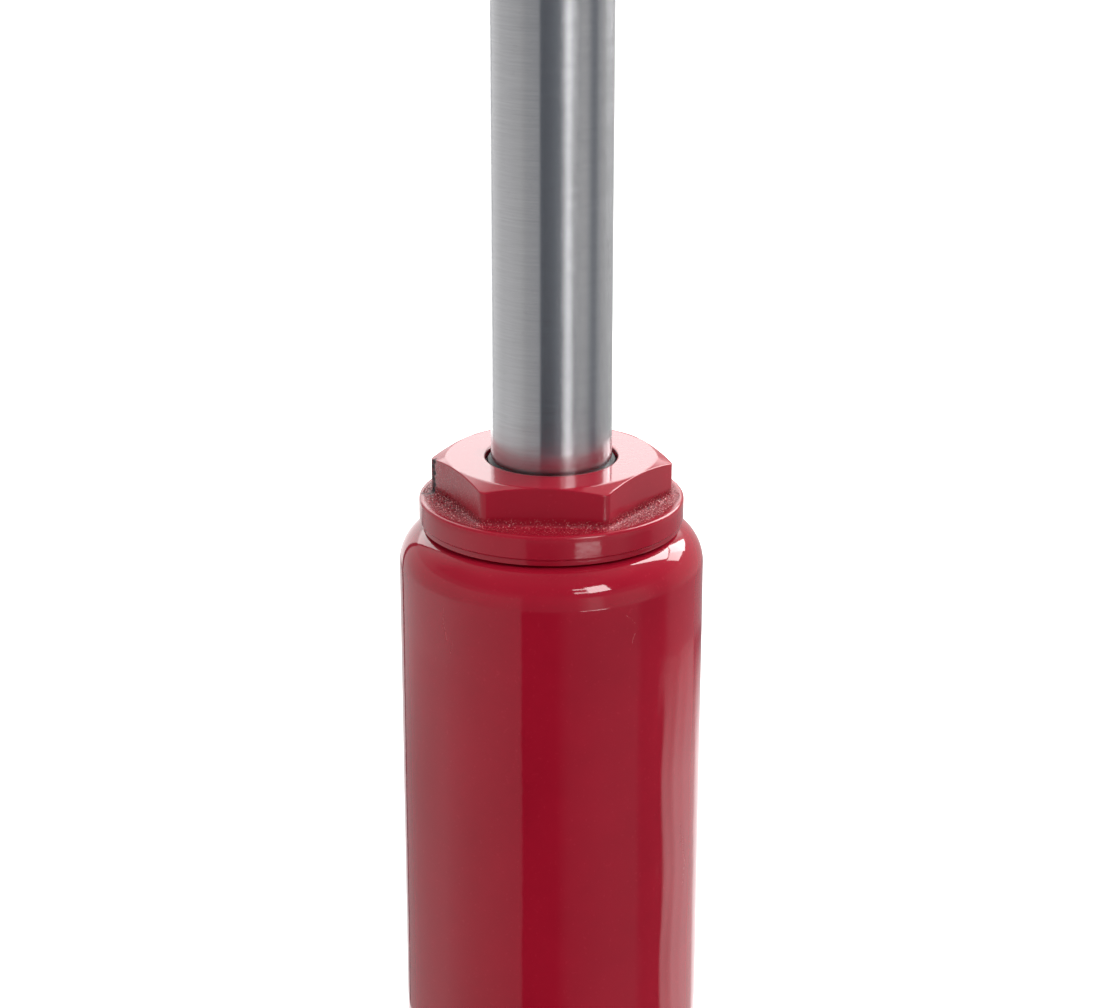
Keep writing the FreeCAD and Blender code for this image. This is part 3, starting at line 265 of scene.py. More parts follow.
def latheGroup():
    # Turning or grinding lines: noise stretched round an axis; Along picks that axis
    broadShare = 0.16
    inputs = [("Place", "Vector", (0, 0, 0)), ("Along", "Vector", (0, 0, 1)), ("Pitch", "Float", 2600.0),
              ("Around", "Float", 22.0)]
    tree, given, result = newGroup("latheLines", inputs, ["Line", "Broad"])
    across = vectorMaths(tree, "SUBTRACT", (1, 1, 1), given["Along"])
    slow = vectorMaths(tree, "SCALE", across, given["Around"])
    for label, share in (("Line", 1.0), ("Broad", broadShare)):
        quick = vectorMaths(tree, "SCALE", given["Along"], times(tree, given["Pitch"], share))
        scale = vectorMaths(tree, "ADD", slow, quick)
        place = vectorMaths(tree, "MULTIPLY", given["Place"], scale)
        tree.links.new(noise(tree, place, 1.0, 2.0, 0.6), result[label])
    return tree


def castGroup():
    # Sand cast skin: coarse lumps, grain and scattered pits
    skin = {"grain": 0.45, "lumps": 0.9, "pitScale": 260.0, "pitSize": 0.16, "pitDepth": 0.25}
    inputs = [("Place", "Vector", (0, 0, 0)), ("Grain", "Float", 420.0), ("Lumps", "Float", 70.0)]
    tree, given, result = newGroup("castSkin", inputs, ["Height", "Hollow"])
    grain = noise(tree, given["Place"], given["Grain"], 4.0, 0.65)
    lumps = noise(tree, given["Place"], given["Lumps"], 2.0)
    pits = addNode(tree, "TexVoronoi", {"Vector": given["Place"], "Scale": skin["pitScale"]})
    hollow = spread(tree, pits.outputs["Distance"], 0.0, skin["pitSize"], 1.0, 0.0)
    height = plus(tree, times(tree, grain, skin["grain"]), times(tree, lumps, skin["lumps"]))
    tree.links.new(minus(tree, height, times(tree, hollow, skin["pitDepth"])), result["Height"])
    tree.links.new(hollow, result["Hollow"])
    return tree


groups = {"peel": peelGroup(), "grime": grimeGroup(), "lathe": latheGroup(), "cast": castGroup()}
print("shader groups built")


def useGroup(tree, name, **inputs):
    node = tree.nodes.new("ShaderNodeGroup")
    node.node_tree = groups[name]
    fill(tree, node, inputs)
    return node.outputs


def newMaterial(name):
    material = bpy.data.materials.new(name)
    material.use_nodes = True
    tree = material.node_tree
    tree.nodes.clear()
    shader = tree.nodes.new("ShaderNodeBsdfPrincipled")
    end = tree.nodes.new("ShaderNodeOutputMaterial")
    tree.links.new(shader.outputs[0], end.inputs[0])
    place = tree.nodes.new("ShaderNodeTexCoord").outputs["Object"]
    return material, tree, shader, place


def finishShader(tree, shader, tone, rough, height, bumpDistance):
    bump = addNode(tree, "Bump", {"Height": height, "Distance": bumpDistance})
    fill(tree, shader, {"Base Color": tone, "Roughness": rough, "Normal": bump.outputs[0]})


paint = {"deep": 0.86, "worn": 1.25, "wornLift": 0.012, "rubbed": 0.25, "smoothest": 0.75, "roughest": 1.35,
         "specks": 1100.0, "clouds": 22.0, "rarity": 0.74, "waves": 34.0, "peelShare": 0.45,
         "castGrain": 520.0, "castLumps": 60.0, "hollow": (0.10, 0.004, 0.008, 1), "pitShadeShare": 0.45,
         "sand": 1600.0, "sandHeight": 17.0, "sandShade": (0.05, 0.004, 0.008, 1), "sandShadeShare": 0.9,
         "sandGlint": (0.85, 0.42, 0.40, 1), "sandGlintShare": 0.8, "crackDark": (0.012, 0.002, 0.006, 1),
         "crackDarkRough": 0.5, "scratch": (0.42, 0.05, 0.06, 1), "scratchShare": 0.4, "scratchRough": 0.3,
         "scratchDepth": 0.8}


def paintMaterial(name, colour, roughness, peel, dimples, cast=0.0, gritty=False, scratchRadius=0):
    # Gloss enamel: orange peel, or a cast skin under the paint with painted shade in its pits, faint clouds,
    # specks and rubbed spots
    p = paint
    material, tree, shader, place = newMaterial(name)
    grime = useGroup(tree, "grime", Place=place, Specks=p["specks"], Clouds=p["clouds"], Rarity=p["rarity"])
    deep = tuple(c * p["deep"] for c in colour[:3]) + (1,)
    worn = tuple(min(c * p["worn"] + p["wornLift"], 1) for c in colour[:3]) + (1,)
    tone = mixColour(tree, spread(tree, grime["Cloud"], 0.3, 0.7), deep, colour)
    tone = mixColour(tree, times(tree, grime["Speck"], p["rubbed"]), tone, worn)
    rough = spread(tree, grime["Cloud"], 0.25, 0.75, roughness * p["smoothest"], roughness * p["roughest"])
    height = useGroup(tree, "peel", Place=place, Dimples=dimples, Waves=p["waves"],
                      Share=p["peelShare"])["Height"]
    if cast:
        skin = useGroup(tree, "cast", Place=place, Grain=p["castGrain"], Lumps=p["castLumps"])
        height = plus(tree, height, times(tree, skin["Height"], cast))
        # Painted shade: the pits of the cast skin get a darker colour
        tone = mixColour(tree, times(tree, skin["Hollow"], p["pitShadeShare"]), tone, p["hollow"])
    if gritty:
        tone, rough, height = addGrit(tree, place, tone, rough, height)
    if scratchRadius:
        marks = scratchMask(tree, place, scratchRadius)
        tone = mixColour(tree, times(tree, marks, p["scratchShare"]), tone, p["scratch"])
        rough = plus(tree, rough, times(tree, marks, p["scratchRough"]))
        height = minus(tree, height, times(tree, marks, p["scratchDepth"]))
    shader.inputs["IOR"].default_value = 1.5
    finishShader(tree, shader, tone, rough, height, peel)
    return material


def addGrit(tree, place, tone, rough, height):
    # Where the piece's grit attribute is high: sandy bumps, painted shade in their hollows and painted glints
    # on their tops.
    # Where its crack attribute is high: a darker, rougher colour in patches along the line
    p = paint
    grit = attribute(tree, "grit")
    sand = noise(tree, place, p["sand"], 2.0, 0.7)
    height = plus(tree, height, times(tree, times(tree, sand, grit), p["sandHeight"]))
    # Painted shade: a dark colour where the sand is low
    sandShade = times(tree, grit, spread(tree, sand, 0.47, 0.38), clamp=True)
    tone = mixColour(tree, times(tree, sandShade, p["sandShadeShare"]), tone, p["sandShade"])
    # Painted glints: a pale colour where the sand is high
    sandGlint = times(tree, grit, spread(tree, sand, 0.60, 0.65), clamp=True)
    tone = mixColour(tree, times(tree, sandGlint, p["sandGlintShare"]), tone, p["sandGlint"])
    crackPatches = spread(tree, noise(tree, place, 600.0, 3.0, 0.6), 0.2, 0.4, 0.0, 1.6)
    crackDark = times(tree, attribute(tree, "crack"), crackPatches, clamp=True)
    tone = mixColour(tree, crackDark, tone, p["crackDark"])
    return tone, plus(tree, rough, times(tree, crackDark, p["crackDarkRough"])), height


# Scratches on the jacket, in degrees round it and millimetres up: start, end, half width
scratches = [(-29.6, 203, -27.2, 190, 0.30), (-27.6, 192, -28.8, 183, 0.22), (-31.5, 209, -30.9, 197, 0.16),
             (-134.5, 287, -131.0, 277, 0.22), (-133.0, 291, -134.2, 280, 0.16),
             (-129.0, 279, -130.5, 272, 0.14), (-62.0, 290, -58.0, 286, 0.20), (-57.5, 284, -59.5, 279, 0.14),
             (60.0, 150, 66.0, 118, 0.25), (118.0, 210, 112.0, 196, 0.20)]


def distanceAlong(tree, around, height, origin, way):
    # (around, height) less the origin, measured along the unit vector of the way
    sideways = times(tree, minus(tree, around, float(origin[0])), float(way[0]))
    upwards = times(tree, minus(tree, height, float(origin[1])), float(way[1]))
    return plus(tree, sideways, upwards)


def scratchMask(tree, place, radius):
    # Distance to each line on the unrolled wall, broken up by noise
    wobbleHeight = 0.0022
    axes = addNode(tree, "SeparateXYZ", {0: place}).outputs
    around = times(tree, maths(tree, "ARCTAN2", axes[1], axes[0]), radius)
    wobble = times(tree, minus(tree, noise(tree, place, 180.0, 2.0), 0.5), wobbleHeight)
    across = plus(tree, around, wobble)
    total = None
    for startTurn, startHeight, endTurn, endHeight, width in scratches:
        first = np.array([math.radians(startTurn) * radius, startHeight * mm])
        line = np.array([math.radians(endTurn) * radius, endHeight * mm]) - first
        length = float(np.linalg.norm(line))
        side, run = (line[1] / length, -line[0] / length), line / length
        offSide = distanceAlong(tree, across, axes[2], first, side)
        fromMiddle = minus(tree, distanceAlong(tree, across, axes[2], first, run), length / 2)
        near = spread(tree, maths(tree, "ABSOLUTE", offSide), width * mm, width * mm * 0.4)
        inside = spread(tree, maths(tree, "ABSOLUTE", fromMiddle), length / 2, length / 2 * 0.7)
        mark = times(tree, near, inside)
        total = mark if total is None else maths(tree, "MAXIMUM", total, mark)
    return times(tree, total, spread(tree, noise(tree, place, 900.0, 2.0), 0.38, 0.55))


metal = {"specks": 700.0, "clouds": 30.0, "rarity": 0.72, "speck": (0.05, 0.05, 0.05, 1), "stainShare": 0.5,
         "broadDepth": 0.6, "cloudRough": 0.2, "castGrain": 600.0, "castLumps": 90.0, "smearTurn": 0.25}


def metalMaterial(name, colour, roughness, pitch=2600.0, lineDepth=2e-6, contrast=0.12, anisotropy=0.0,
                  cloud=0.1, skin=0.0, stain=None, specks=0.3, around=22.0):
    # Worked metal: lines round the upright axis, slow clouds, specks, and a tint that gathers in the clouds
    m = metal
    material, tree, shader, place = newMaterial(name)
    lines = useGroup(tree, "lathe", Place=place, Along=(0, 0, 1), Pitch=pitch, Around=around)
    grime = useGroup(tree, "grime", Place=place, Specks=m["specks"], Clouds=m["clouds"], Rarity=m["rarity"])
    shade = spread(tree, lines["Line"], 0.25, 0.75, 1 - contrast, 1 + contrast * 0.5)
    shade = times(tree, shade, spread(tree, grime["Cloud"], 0.3, 0.7, 1 - cloud, 1.0))
    grey = addNode(tree, "CombineColor", {0: shade, 1: shade, 2: shade}).outputs[0]
    tone = mixColour(tree, 1.0, colour, grey, "MULTIPLY")
    if stain:
        stained = times(tree, spread(tree, grime["Cloud"], 0.5, 0.8), m["stainShare"])
        tone = mixColour(tree, stained, tone, stain)
    tone = mixColour(tree, times(tree, grime["Speck"], specks), tone, m["speck"])
    rough = plus(tree, spread(tree, lines["Broad"], 0.3, 0.7, roughness * 0.85, roughness * 1.15),
                 times(tree, grime["Cloud"], roughness * m["cloudRough"]))
    height = plus(tree, lines["Line"], times(tree, lines["Broad"], m["broadDepth"]))
    if skin:
        cast = useGroup(tree, "cast", Place=place, Grain=m["castGrain"], Lumps=m["castLumps"])
        height = plus(tree, height, times(tree, cast["Height"], skin))
    shader.inputs["Metallic"].default_value = 1.0
    if anisotropy:
        # A quarter turn smears reflections along the rod and keeps them sharp across it
        tangent = addNode(tree, "Tangent", direction_type="RADIAL", axis="Z").outputs[0]
        fill(tree, shader, {"Anisotropic": anisotropy, "Anisotropic Rotation": m["smearTurn"],
                            "Tangent": tangent})
    finishShader(tree, shader, tone, rough, height, lineDepth)
    return material


soft = {"specks": 1500.0, "clouds": 60.0, "rarity": 0.7, "dust": 0.4, "smoothest": 0.85, "grain": 900.0,
        "grainDepth": 0.00004}


def softMaterial(name, colour, dusty, roughness, bloom=0.15):
    # Rubber and moulded seals: matt, faint mould grain, pale dust in the clouds
    s = soft
    material, tree, shader, place = newMaterial(name)
    grime = useGroup(tree, "grime", Place=place, Specks=s["specks"], Clouds=s["clouds"], Rarity=s["rarity"])
    tone = mixColour(tree, times(tree, spread(tree, grime["Cloud"], 0.4, 0.8), bloom), colour, dusty)
    tone = mixColour(tree, times(tree, grime["Speck"], s["dust"]), tone, dusty)
    rough = spread(tree, grime["Cloud"], 0.3, 0.7, roughness * s["smoothest"], roughness)
    finishShader(tree, shader, tone, rough, noise(tree, place, s["grain"], 3.0), s["grainDepth"])
    return material


# The jacket's sizes stand before the finishes, because its scratches need its radius
jacket = {"radius": 50.8, "wall": 3.0, "shoulder": 13.0, "top": 305.6, "foot": 40.0, "lip": 31.0,
          "columns": 288, "arcSteps": 24, "rowGap": 3.0, "waveDepth": 0.018, "sagAngle": -38.0,
          "sagWidth": 13.0, "sagTop": 262.0, "sagHeight": 0.10}
redPaint = (0.262, 0.0048, 0.017, 1)
castRed = (0.255, 0.0048, 0.017, 1)
finishes = {
    "enamel": paintMaterial("enamel", redPaint, 0.055, 0.00008, 190.0, scratchRadius=jacket["radius"] * mm),
    "nut_enamel": paintMaterial("nutEnamel", redPaint, 0.10, 0.00005, 420.0, gritty=True),
    "foot": paintMaterial("footEnamel", castRed, 0.16, 0.00030, 300.0, cast=2.2),
    "lever_enamel": paintMaterial("leverEnamel", castRed, 0.14, 0.00016, 320.0, cast=1.4),
    "ground_steel": metalMaterial("groundSteel", (0.60, 0.60, 0.615, 1), 0.20, lineDepth=2.5e-7,
                                  contrast=0.07, anisotropy=0.93, cloud=0.04, specks=0.03, around=60.0),
    "hard_chrome": metalMaterial("hardChrome", (0.70, 0.71, 0.73, 1), 0.10, pitch=3600.0, lineDepth=4e-7,
                                 contrast=0.05, cloud=0.04, specks=0.05),
    "steel": metalMaterial("turnedSteel", (0.46, 0.46, 0.47, 1), 0.30, pitch=1700.0, lineDepth=3e-6,
                           contrast=0.16, cloud=0.15, stain=(0.22, 0.15, 0.09, 1), specks=0.1, around=9.0),
    "dark_steel": metalMaterial("blackenedSteel", (0.10, 0.10, 0.105, 1), 0.42, pitch=1500.0, lineDepth=8e-6,
                                contrast=0.22, cloud=0.25, skin=0.15, stain=(0.13, 0.09, 0.06, 1)),
    "zinc": metalMaterial("zincPlate", (0.62, 0.63, 0.62, 1), 0.30, pitch=1400.0, contrast=0.08, cloud=0.22,
                          stain=(0.62, 0.58, 0.44, 1), specks=0.12, around=60.0),
    "spring_steel": metalMaterial("springSteel", (0.20, 0.20, 0.215, 1), 0.34, pitch=1200.0, lineDepth=4e-6),
    "iron": metalMaterial("greyIron", (0.24, 0.24, 0.24, 1), 0.45, pitch=1600.0, lineDepth=1.2e-5,
                          contrast=0.25),
    "bronze": metalMaterial("bearingBronze", (0.60, 0.40, 0.17, 1), 0.30, pitch=1800.0, lineDepth=6e-6,
                            contrast=0.15, stain=(0.30, 0.16, 0.06, 1)),
    "rubber": softMaterial("nitrileRubber", (0.016, 0.016, 0.017, 1), (0.11, 0.10, 0.09, 1), 0.62),
    "seal": softMaterial("polyurethane", (0.06, 0.11, 0.28, 1), (0.2, 0.25, 0.4, 1), 0.4, 0.1),
    "wear": softMaterial("wearTape", (0.42, 0.33, 0.18, 1), (0.55, 0.47, 0.33, 1), 0.55),
}
for row in frame["record"]["subparts"]:
    mesh = frame["nodes"][row["node"]].data
    mesh.materials.clear()
    mesh.materials.append(finishes[row["material_slot"]])
print("finishes made:", len(finishes))


def jacketReach(angle, radius, height):
    # Sprayed wall: slow waves of a few hundredths and a run of thicker paint that starts near the shoulder
    j = jacket
    outer = spreadArray(radius, j["radius"] - 0.6, j["radius"] - 0.05)
    around = angle * j["radius"]
    slow = waves(around + 0 * height, height + 0 * angle, seed=4, count=14, low=0.04, high=0.22)
    turn = np.degrees(angle) - 360 * (angle > math.pi) - j["sagAngle"]
    edge = j["sagTop"] + 6 * np.sin(turn * 0.5) + 3 * np.sin(turn * 1.3 + 1)
    run = np.exp(-(turn / j["sagWidth"]) ** 2) * spreadArray(height, edge + 8, edge - 10)
    ripple = 0.5 + 0.5 * np.sin(turn * 0.9 + np.sin(height * 0.09) * 1.2)
    return radius + outer * (slow * j["waveDepth"] + run * ripple * j["sagHeight"])


def makeJacket():
    j = jacket
    r, s, w, top = j["radius"], j["shoulder"], j["wall"], j["top"]
    outline = [(r, j["foot"]), (r, top, s), (j["lip"], top), (j["lip"], top - w), (r - w, top - w, s - w),
               (r - w, j["foot"]), (r, j["foot"])]
    path = denser(roundedPath(outline, j["arcSteps"]), j["rowGap"])[:-1]
    piece = turnedPiece("jacketShell", path, finishes["enamel"], j["columns"], jacketReach)
    dress(piece, "unit", "enamel", "reservoir_jacket")


makeJacket()
print("jacket made")


nut = {"top": 329.0, "flats": 70.0, "turn": -3.8, "cornerRounding": 3.3, "chamferRadius": 34.8,
       "slope": 0.404, "edge": 0.5, "flangeTop": 315.7, "footFillet": 1.1, "flange": 44.0, "flangeEdge": 1.2,
       "flangeFoot": 308.2, "hole": 21.9, "holeEdge": 0.6, "holeDepth": 2.5, "leastChamfer": 0.05,
       # the narrow step at the flange's foot, then the hollow inside the nut
       "lower": [(43.8, 308.0), (43.5, 307.75), (43.38, 307.5), (43.4, 307.1), (43.4, 306.3), (43.3, 305.9),
                 (43.0, 305.65), (42.6, 305.6), (30.05, 305.6), (30.05, 322), (24.5, 322), (24.5, 326.5)],
       "columns": 840, "sharpAngle": 32,
       "rows": {"holeEdge": 5, "top": 16, "chamfer": 8, "edge": 6, "side": 26, "fillet": 8, "flange": 26,
                "flangeEdge": 9, "flangeSide": 7},
       # the skin of the paint: how deep its grit is, and from which share of the side and the flange
       "grit": 0.2, "gritRise": 0.78, "gritFall": 0.55, "gritLoss": 0.85, "edgeGrit": 0.05,
       "dryFlat": (178, 235), "dryGrit": 0.14, "dryTurn": 8, "dryLeast": 0.3, "leftGain": 1.25,
       "skinRadius": 40, "shownRadius": 34, "shownHeight": 306,
       "crackAngle": 179.8, "crackTop": 327.8, "crackWander": 0.6, "crackWidth": 2.0, "crackDepth": 0.35}


def nutRows(angle):
    # Every row of the profile is a function of the angle: the hexagon's reach moves the rows of its side.
    # Gives the radius, the height and the grit of each row at each angle
    n, rowCount = nut, nut["rows"]
    one = np.ones(len(angle))
    reach = hexReach(angle, n["flats"], n["turn"], n["cornerRounding"])
    slopeAngle = math.atan(n["slope"])
    edgeHeight = n["top"] - np.maximum(reach - n["chamferRadius"], 0) * n["slope"]
    back = n["edge"] * math.tan((math.pi / 2 - slopeAngle) / 2)
    rows = []

    def addRow(radius, height, grit=0.0):
        rows.append((radius * one, height * one, grit * one))

    addRow(n["hole"], n["top"] - n["holeDepth"])
    for turn in np.linspace(math.pi, math.pi / 2, rowCount["holeEdge"]):
        radius = n["hole"] + n["holeEdge"] * (1 + math.cos(turn))
        addRow(radius, n["top"] - n["holeEdge"] * (1 - math.sin(turn)))
    chamferEnd = reach - back * math.cos(slopeAngle)
    flatEnd = np.minimum(n["chamferRadius"], chamferEnd - n["leastChamfer"])
    for share in np.linspace(0, 1, rowCount["top"])[1:]:
        addRow(n["hole"] + n["holeEdge"] + share * (flatEnd - n["hole"] - n["holeEdge"]), n["top"])
    for share in np.linspace(0, 1, rowCount["chamfer"])[1:]:
        radius = flatEnd + share * (chamferEnd - flatEnd)
        addRow(radius, n["top"] - np.maximum(radius - n["chamferRadius"], 0) * n["slope"])
    for turn in np.linspace(math.pi / 2 - slopeAngle, 0, rowCount["edge"])[1:]:
        addRow(reach + n["edge"] * (math.cos(turn) - 1), edgeHeight - back + n["edge"] * math.sin(turn))
    sideTop, sideFoot = edgeHeight - back, n["flangeTop"] + n["footFillet"]
    dryFrom, dryTo = np.radians(n["dryFlat"])
    dryFlat = (angle > dryFrom) & (angle < dryTo)  # the flat whose paint has a dry, rough skin
    for share in np.linspace(0, 1, rowCount["side"])[1:]:
        grit = np.maximum(spreadArray(share, n["gritRise"], 1.0), dryFlat * n["dryGrit"])
        addRow(reach, sideTop + share * (sideFoot - sideTop), grit)
    for turn in np.linspace(math.pi, 1.5 * math.pi, rowCount["fillet"])[1:]:
        radius = reach + n["footFillet"] * (1 + math.cos(turn))
        addRow(radius, sideFoot + n["footFillet"] * math.sin(turn), 1.0)
    flangeStart, flangeEnd = reach + n["footFillet"], n["flange"] - n["flangeEdge"]
    for share in np.linspace(0, 1, rowCount["flange"])[1:]:
        grit = 1 - n["gritLoss"] * spreadArray(share, n["gritFall"], 1.0)
        addRow(flangeStart + share * (flangeEnd - flangeStart), n["flangeTop"], grit)
    for turn in np.linspace(math.pi / 2, 0, rowCount["flangeEdge"])[1:]:
        radius = flangeEnd + n["flangeEdge"] * math.cos(turn)
        addRow(radius, n["flangeTop"] - n["flangeEdge"] * (1 - math.sin(turn)), n["edgeGrit"])
    for height in np.linspace(n["flangeTop"] - n["flangeEdge"], n["flangeFoot"], rowCount["flangeSide"])[1:]:
        addRow(n["flange"], height)
    for radius, height in n["lower"]:
        addRow(radius, height)
    return [np.stack(part) for part in zip(*rows)]


def makeNut():
    # The rows are pushed along the profile's own normal: sandy waves where the grit is, and in at the crack
    n = nut
    angle = np.linspace(0, 2 * math.pi, n["columns"], endpoint=False)
    radius, height, grit = nutRows(angle)
    turn = angle[None]
    alongRadius, alongHeight = np.gradient(radius, axis=0), np.gradient(height, axis=0)
    length = np.maximum(np.hypot(alongRadius, alongHeight), 1e-6)
    around, over = turn * n["skinRadius"], radius + 0.9 * height
    sand = np.abs(waves(around, over, seed=7, count=26, low=2.2, high=7.5))
    sand = sand * waves(around, over, seed=8, count=10, low=0.3, high=0.9)
    # The skin is driest at the left and right of the flange, thinner in front
    sideways = np.abs(np.cos(turn + math.radians(n["dryTurn"]))) ** 1.5
    dryness = n["dryLeast"] + (1 - n["dryLeast"]) * sideways
    grit = np.clip(grit * dryness * np.where(np.cos(turn) < -0.3, n["leftGain"], 1.0), 0, 1)
    apart = np.degrees(turn) - n["crackAngle"]
    crackLine = np.exp(-((apart - n["crackWander"] * np.sin(height * 1.6)) / n["crackWidth"]) ** 2)
    onSide = (height < n["crackTop"]) & (height > n["flangeTop"] - 0.2) & (radius > n["shownRadius"])
    crack = crackLine * onSide * (0.75 + 0.25 * np.sin(height * 3.1))
    shown = (radius > n["shownRadius"]) & (height > n["shownHeight"])
    push = (grit * n["grit"] * sand - crack * n["crackDepth"]) * shown
    radius = radius - alongHeight / length * push
    height = height + alongRadius / length * push
    points = spun(radius, height, turn).reshape(-1, 3)
    quads = gridQuads(len(radius), n["columns"], True)
    layers = {"grit": grit, "crack": crack}
    piece = weldedMesh("tankNutBody", points, quads, finishes["nut_enamel"], n["sharpAngle"], layers)
    dress(piece, "unit", "nut_enamel", "tank_nut")


makeNut()
print("tank nut made")


firstStage = {"radius": 20.0, "bore": 15.5, "low": 207.2, "high": 502.0, "edge": 0.4, "columns": 224,
              "arcSteps": 5, "rowGap": 8.0}


def makeFirstStage():
    f = firstStage
    outline = [(f["radius"], f["low"]), (f["radius"], f["high"], f["edge"]), (f["bore"], f["high"]),
               (f["bore"], f["low"]), (f["radius"], f["low"])]
    path = denser(roundedPath(outline, f["arcSteps"]), f["rowGap"])[:-1]
    piece = turnedPiece("firstStageTube", path, finishes["ground_steel"], f["columns"])
    dress(piece, "stage_1", "ground_steel", "stage_1_tube")


makeFirstStage()
print("first stage made")


# Name, node, body, finish and rounding in millimetres of the pieces that keep the solid's faces
roundedEdges = {
    "leverCasting": ("pump_lever", "lever", "lever_enamel", 0.9),
    "pumpRam": ("pump_plunger", "plunger", "hard_chrome", 0.35),
    "leverPost": ("fulcrum_post", "unit", "steel", 0.5),
    "fulcrumPinBody": ("fulcrum_pin", "unit", "zinc", 0.6),
    "plungerPinBody": ("plunger_pin", "plunger", "zinc", 0.6),
    "jackSaddle": ("saddle", "saddle_head", "dark_steel", 0.45),
    "upperGlandNut": ("stage_1_gland_nut", "stage_1", "dark_steel", 0.35),
    "pumpGlandHex": ("pump_gland_nut", "unit", "zinc", 0.35),
    "pumpBarrelBody": ("pump_barrel", "unit", "steel", 0.35),
    "fillerPlugBody": ("filler_plug", "unit", "rubber", 0.5),
    "releaseValveScrew": ("release_screw", "release", "zinc", 0.4),
    "reliefValveScrew": ("relief_screw", "unit", "zinc", 0.25),
    "drillingPlugs": ("passage_plugs", "unit", "zinc", 0.2),
}
bevelRule = {"merge": 2e-6, "flatAngle": 0.4, "sharpAngle": 32, "bevelAngle": 40, "segments": 3}


def roundEdges(name, node, body, slotName, rounding):
    # A merged copy of the solid's faces, its flat parts made whole, its sharp edges rounded by a bevel
    rule = bevelRule
    mesh = frame["nodes"][node].data.copy()
    mesh.name = name
    work = bmesh.new()
    work.from_mesh(mesh)
    bmesh.ops.remove_doubles(work, verts=work.verts, dist=rule["merge"])
    flatAngle = math.radians(rule["flatAngle"])
    bmesh.ops.dissolve_limit(work, angle_limit=flatAngle, verts=work.verts, edges=work.edges)
    work.to_mesh(mesh)
    work.free()
    mesh.shade_smooth()
    mesh.set_sharp_from_angle(angle=math.radians(rule["sharpAngle"]))
    mesh.materials.clear()
    mesh.materials.append(finishes[slotName])
    piece = placed(name, mesh)
    bevel = piece.modifiers.new("roundedEdges", "BEVEL")
    bevel.limit_method, bevel.angle_limit = "ANGLE", math.radians(rule["bevelAngle"])
    bevel.width, bevel.segments = rounding * mm, rule["segments"]
    bevel.use_clamp_overlap, bevel.harden_normals = False, True
    dress(piece, body, slotName, node)


for name, row in roundedEdges.items():
    roundEdges(name, *row)
print("edges rounded:", len(roundedEdges))


ground = {"half": 6.0, "grey": 0.6, "roughness": 0.9, "glowNear": 0.22, "glowStart": 0.2, "glowFull": 1.1}


def seenRays(tree):
    # 1 for what the camera sees, straight or by a reflection, 0 for the light that falls on the object
    path = addNode(tree, "LightPath").outputs
    mirrored = maths(tree, "MAXIMUM", path["Is Glossy Ray"], path["Is Transmission Ray"])
    return maths(tree, "MAXIMUM", path["Is Camera Ray"], mirrored)


def makeFloor():
    # The floor glows to white away from the foot, so that the frame is white and a soft shadow stays
    g, half = ground, ground["half"]
    material, tree, shader, place = newMaterial("paleFloor")
    away = addNode(tree, "VectorMath", {0: place}, operation="LENGTH").outputs["Value"]
    lift = spread(tree, away, g["glowStart"], g["glowFull"], g["glowNear"], 1.0)
    fill(tree, shader, {"Base Color": (g["grey"],) * 3 + (1,), "Roughness": g["roughness"],
                        "Emission Color": white, "Emission Strength": times(tree, seenRays(tree), lift)})
    mesh = bpy.data.meshes.new("floor")
    corners = [(-half, -half, 0), (half, -half, 0), (half, half, 0), (-half, half, 0)]
    mesh.from_pydata(corners, [], [(0, 1, 2, 3)])
    mesh.materials.append(material)
    placed("floor", mesh)


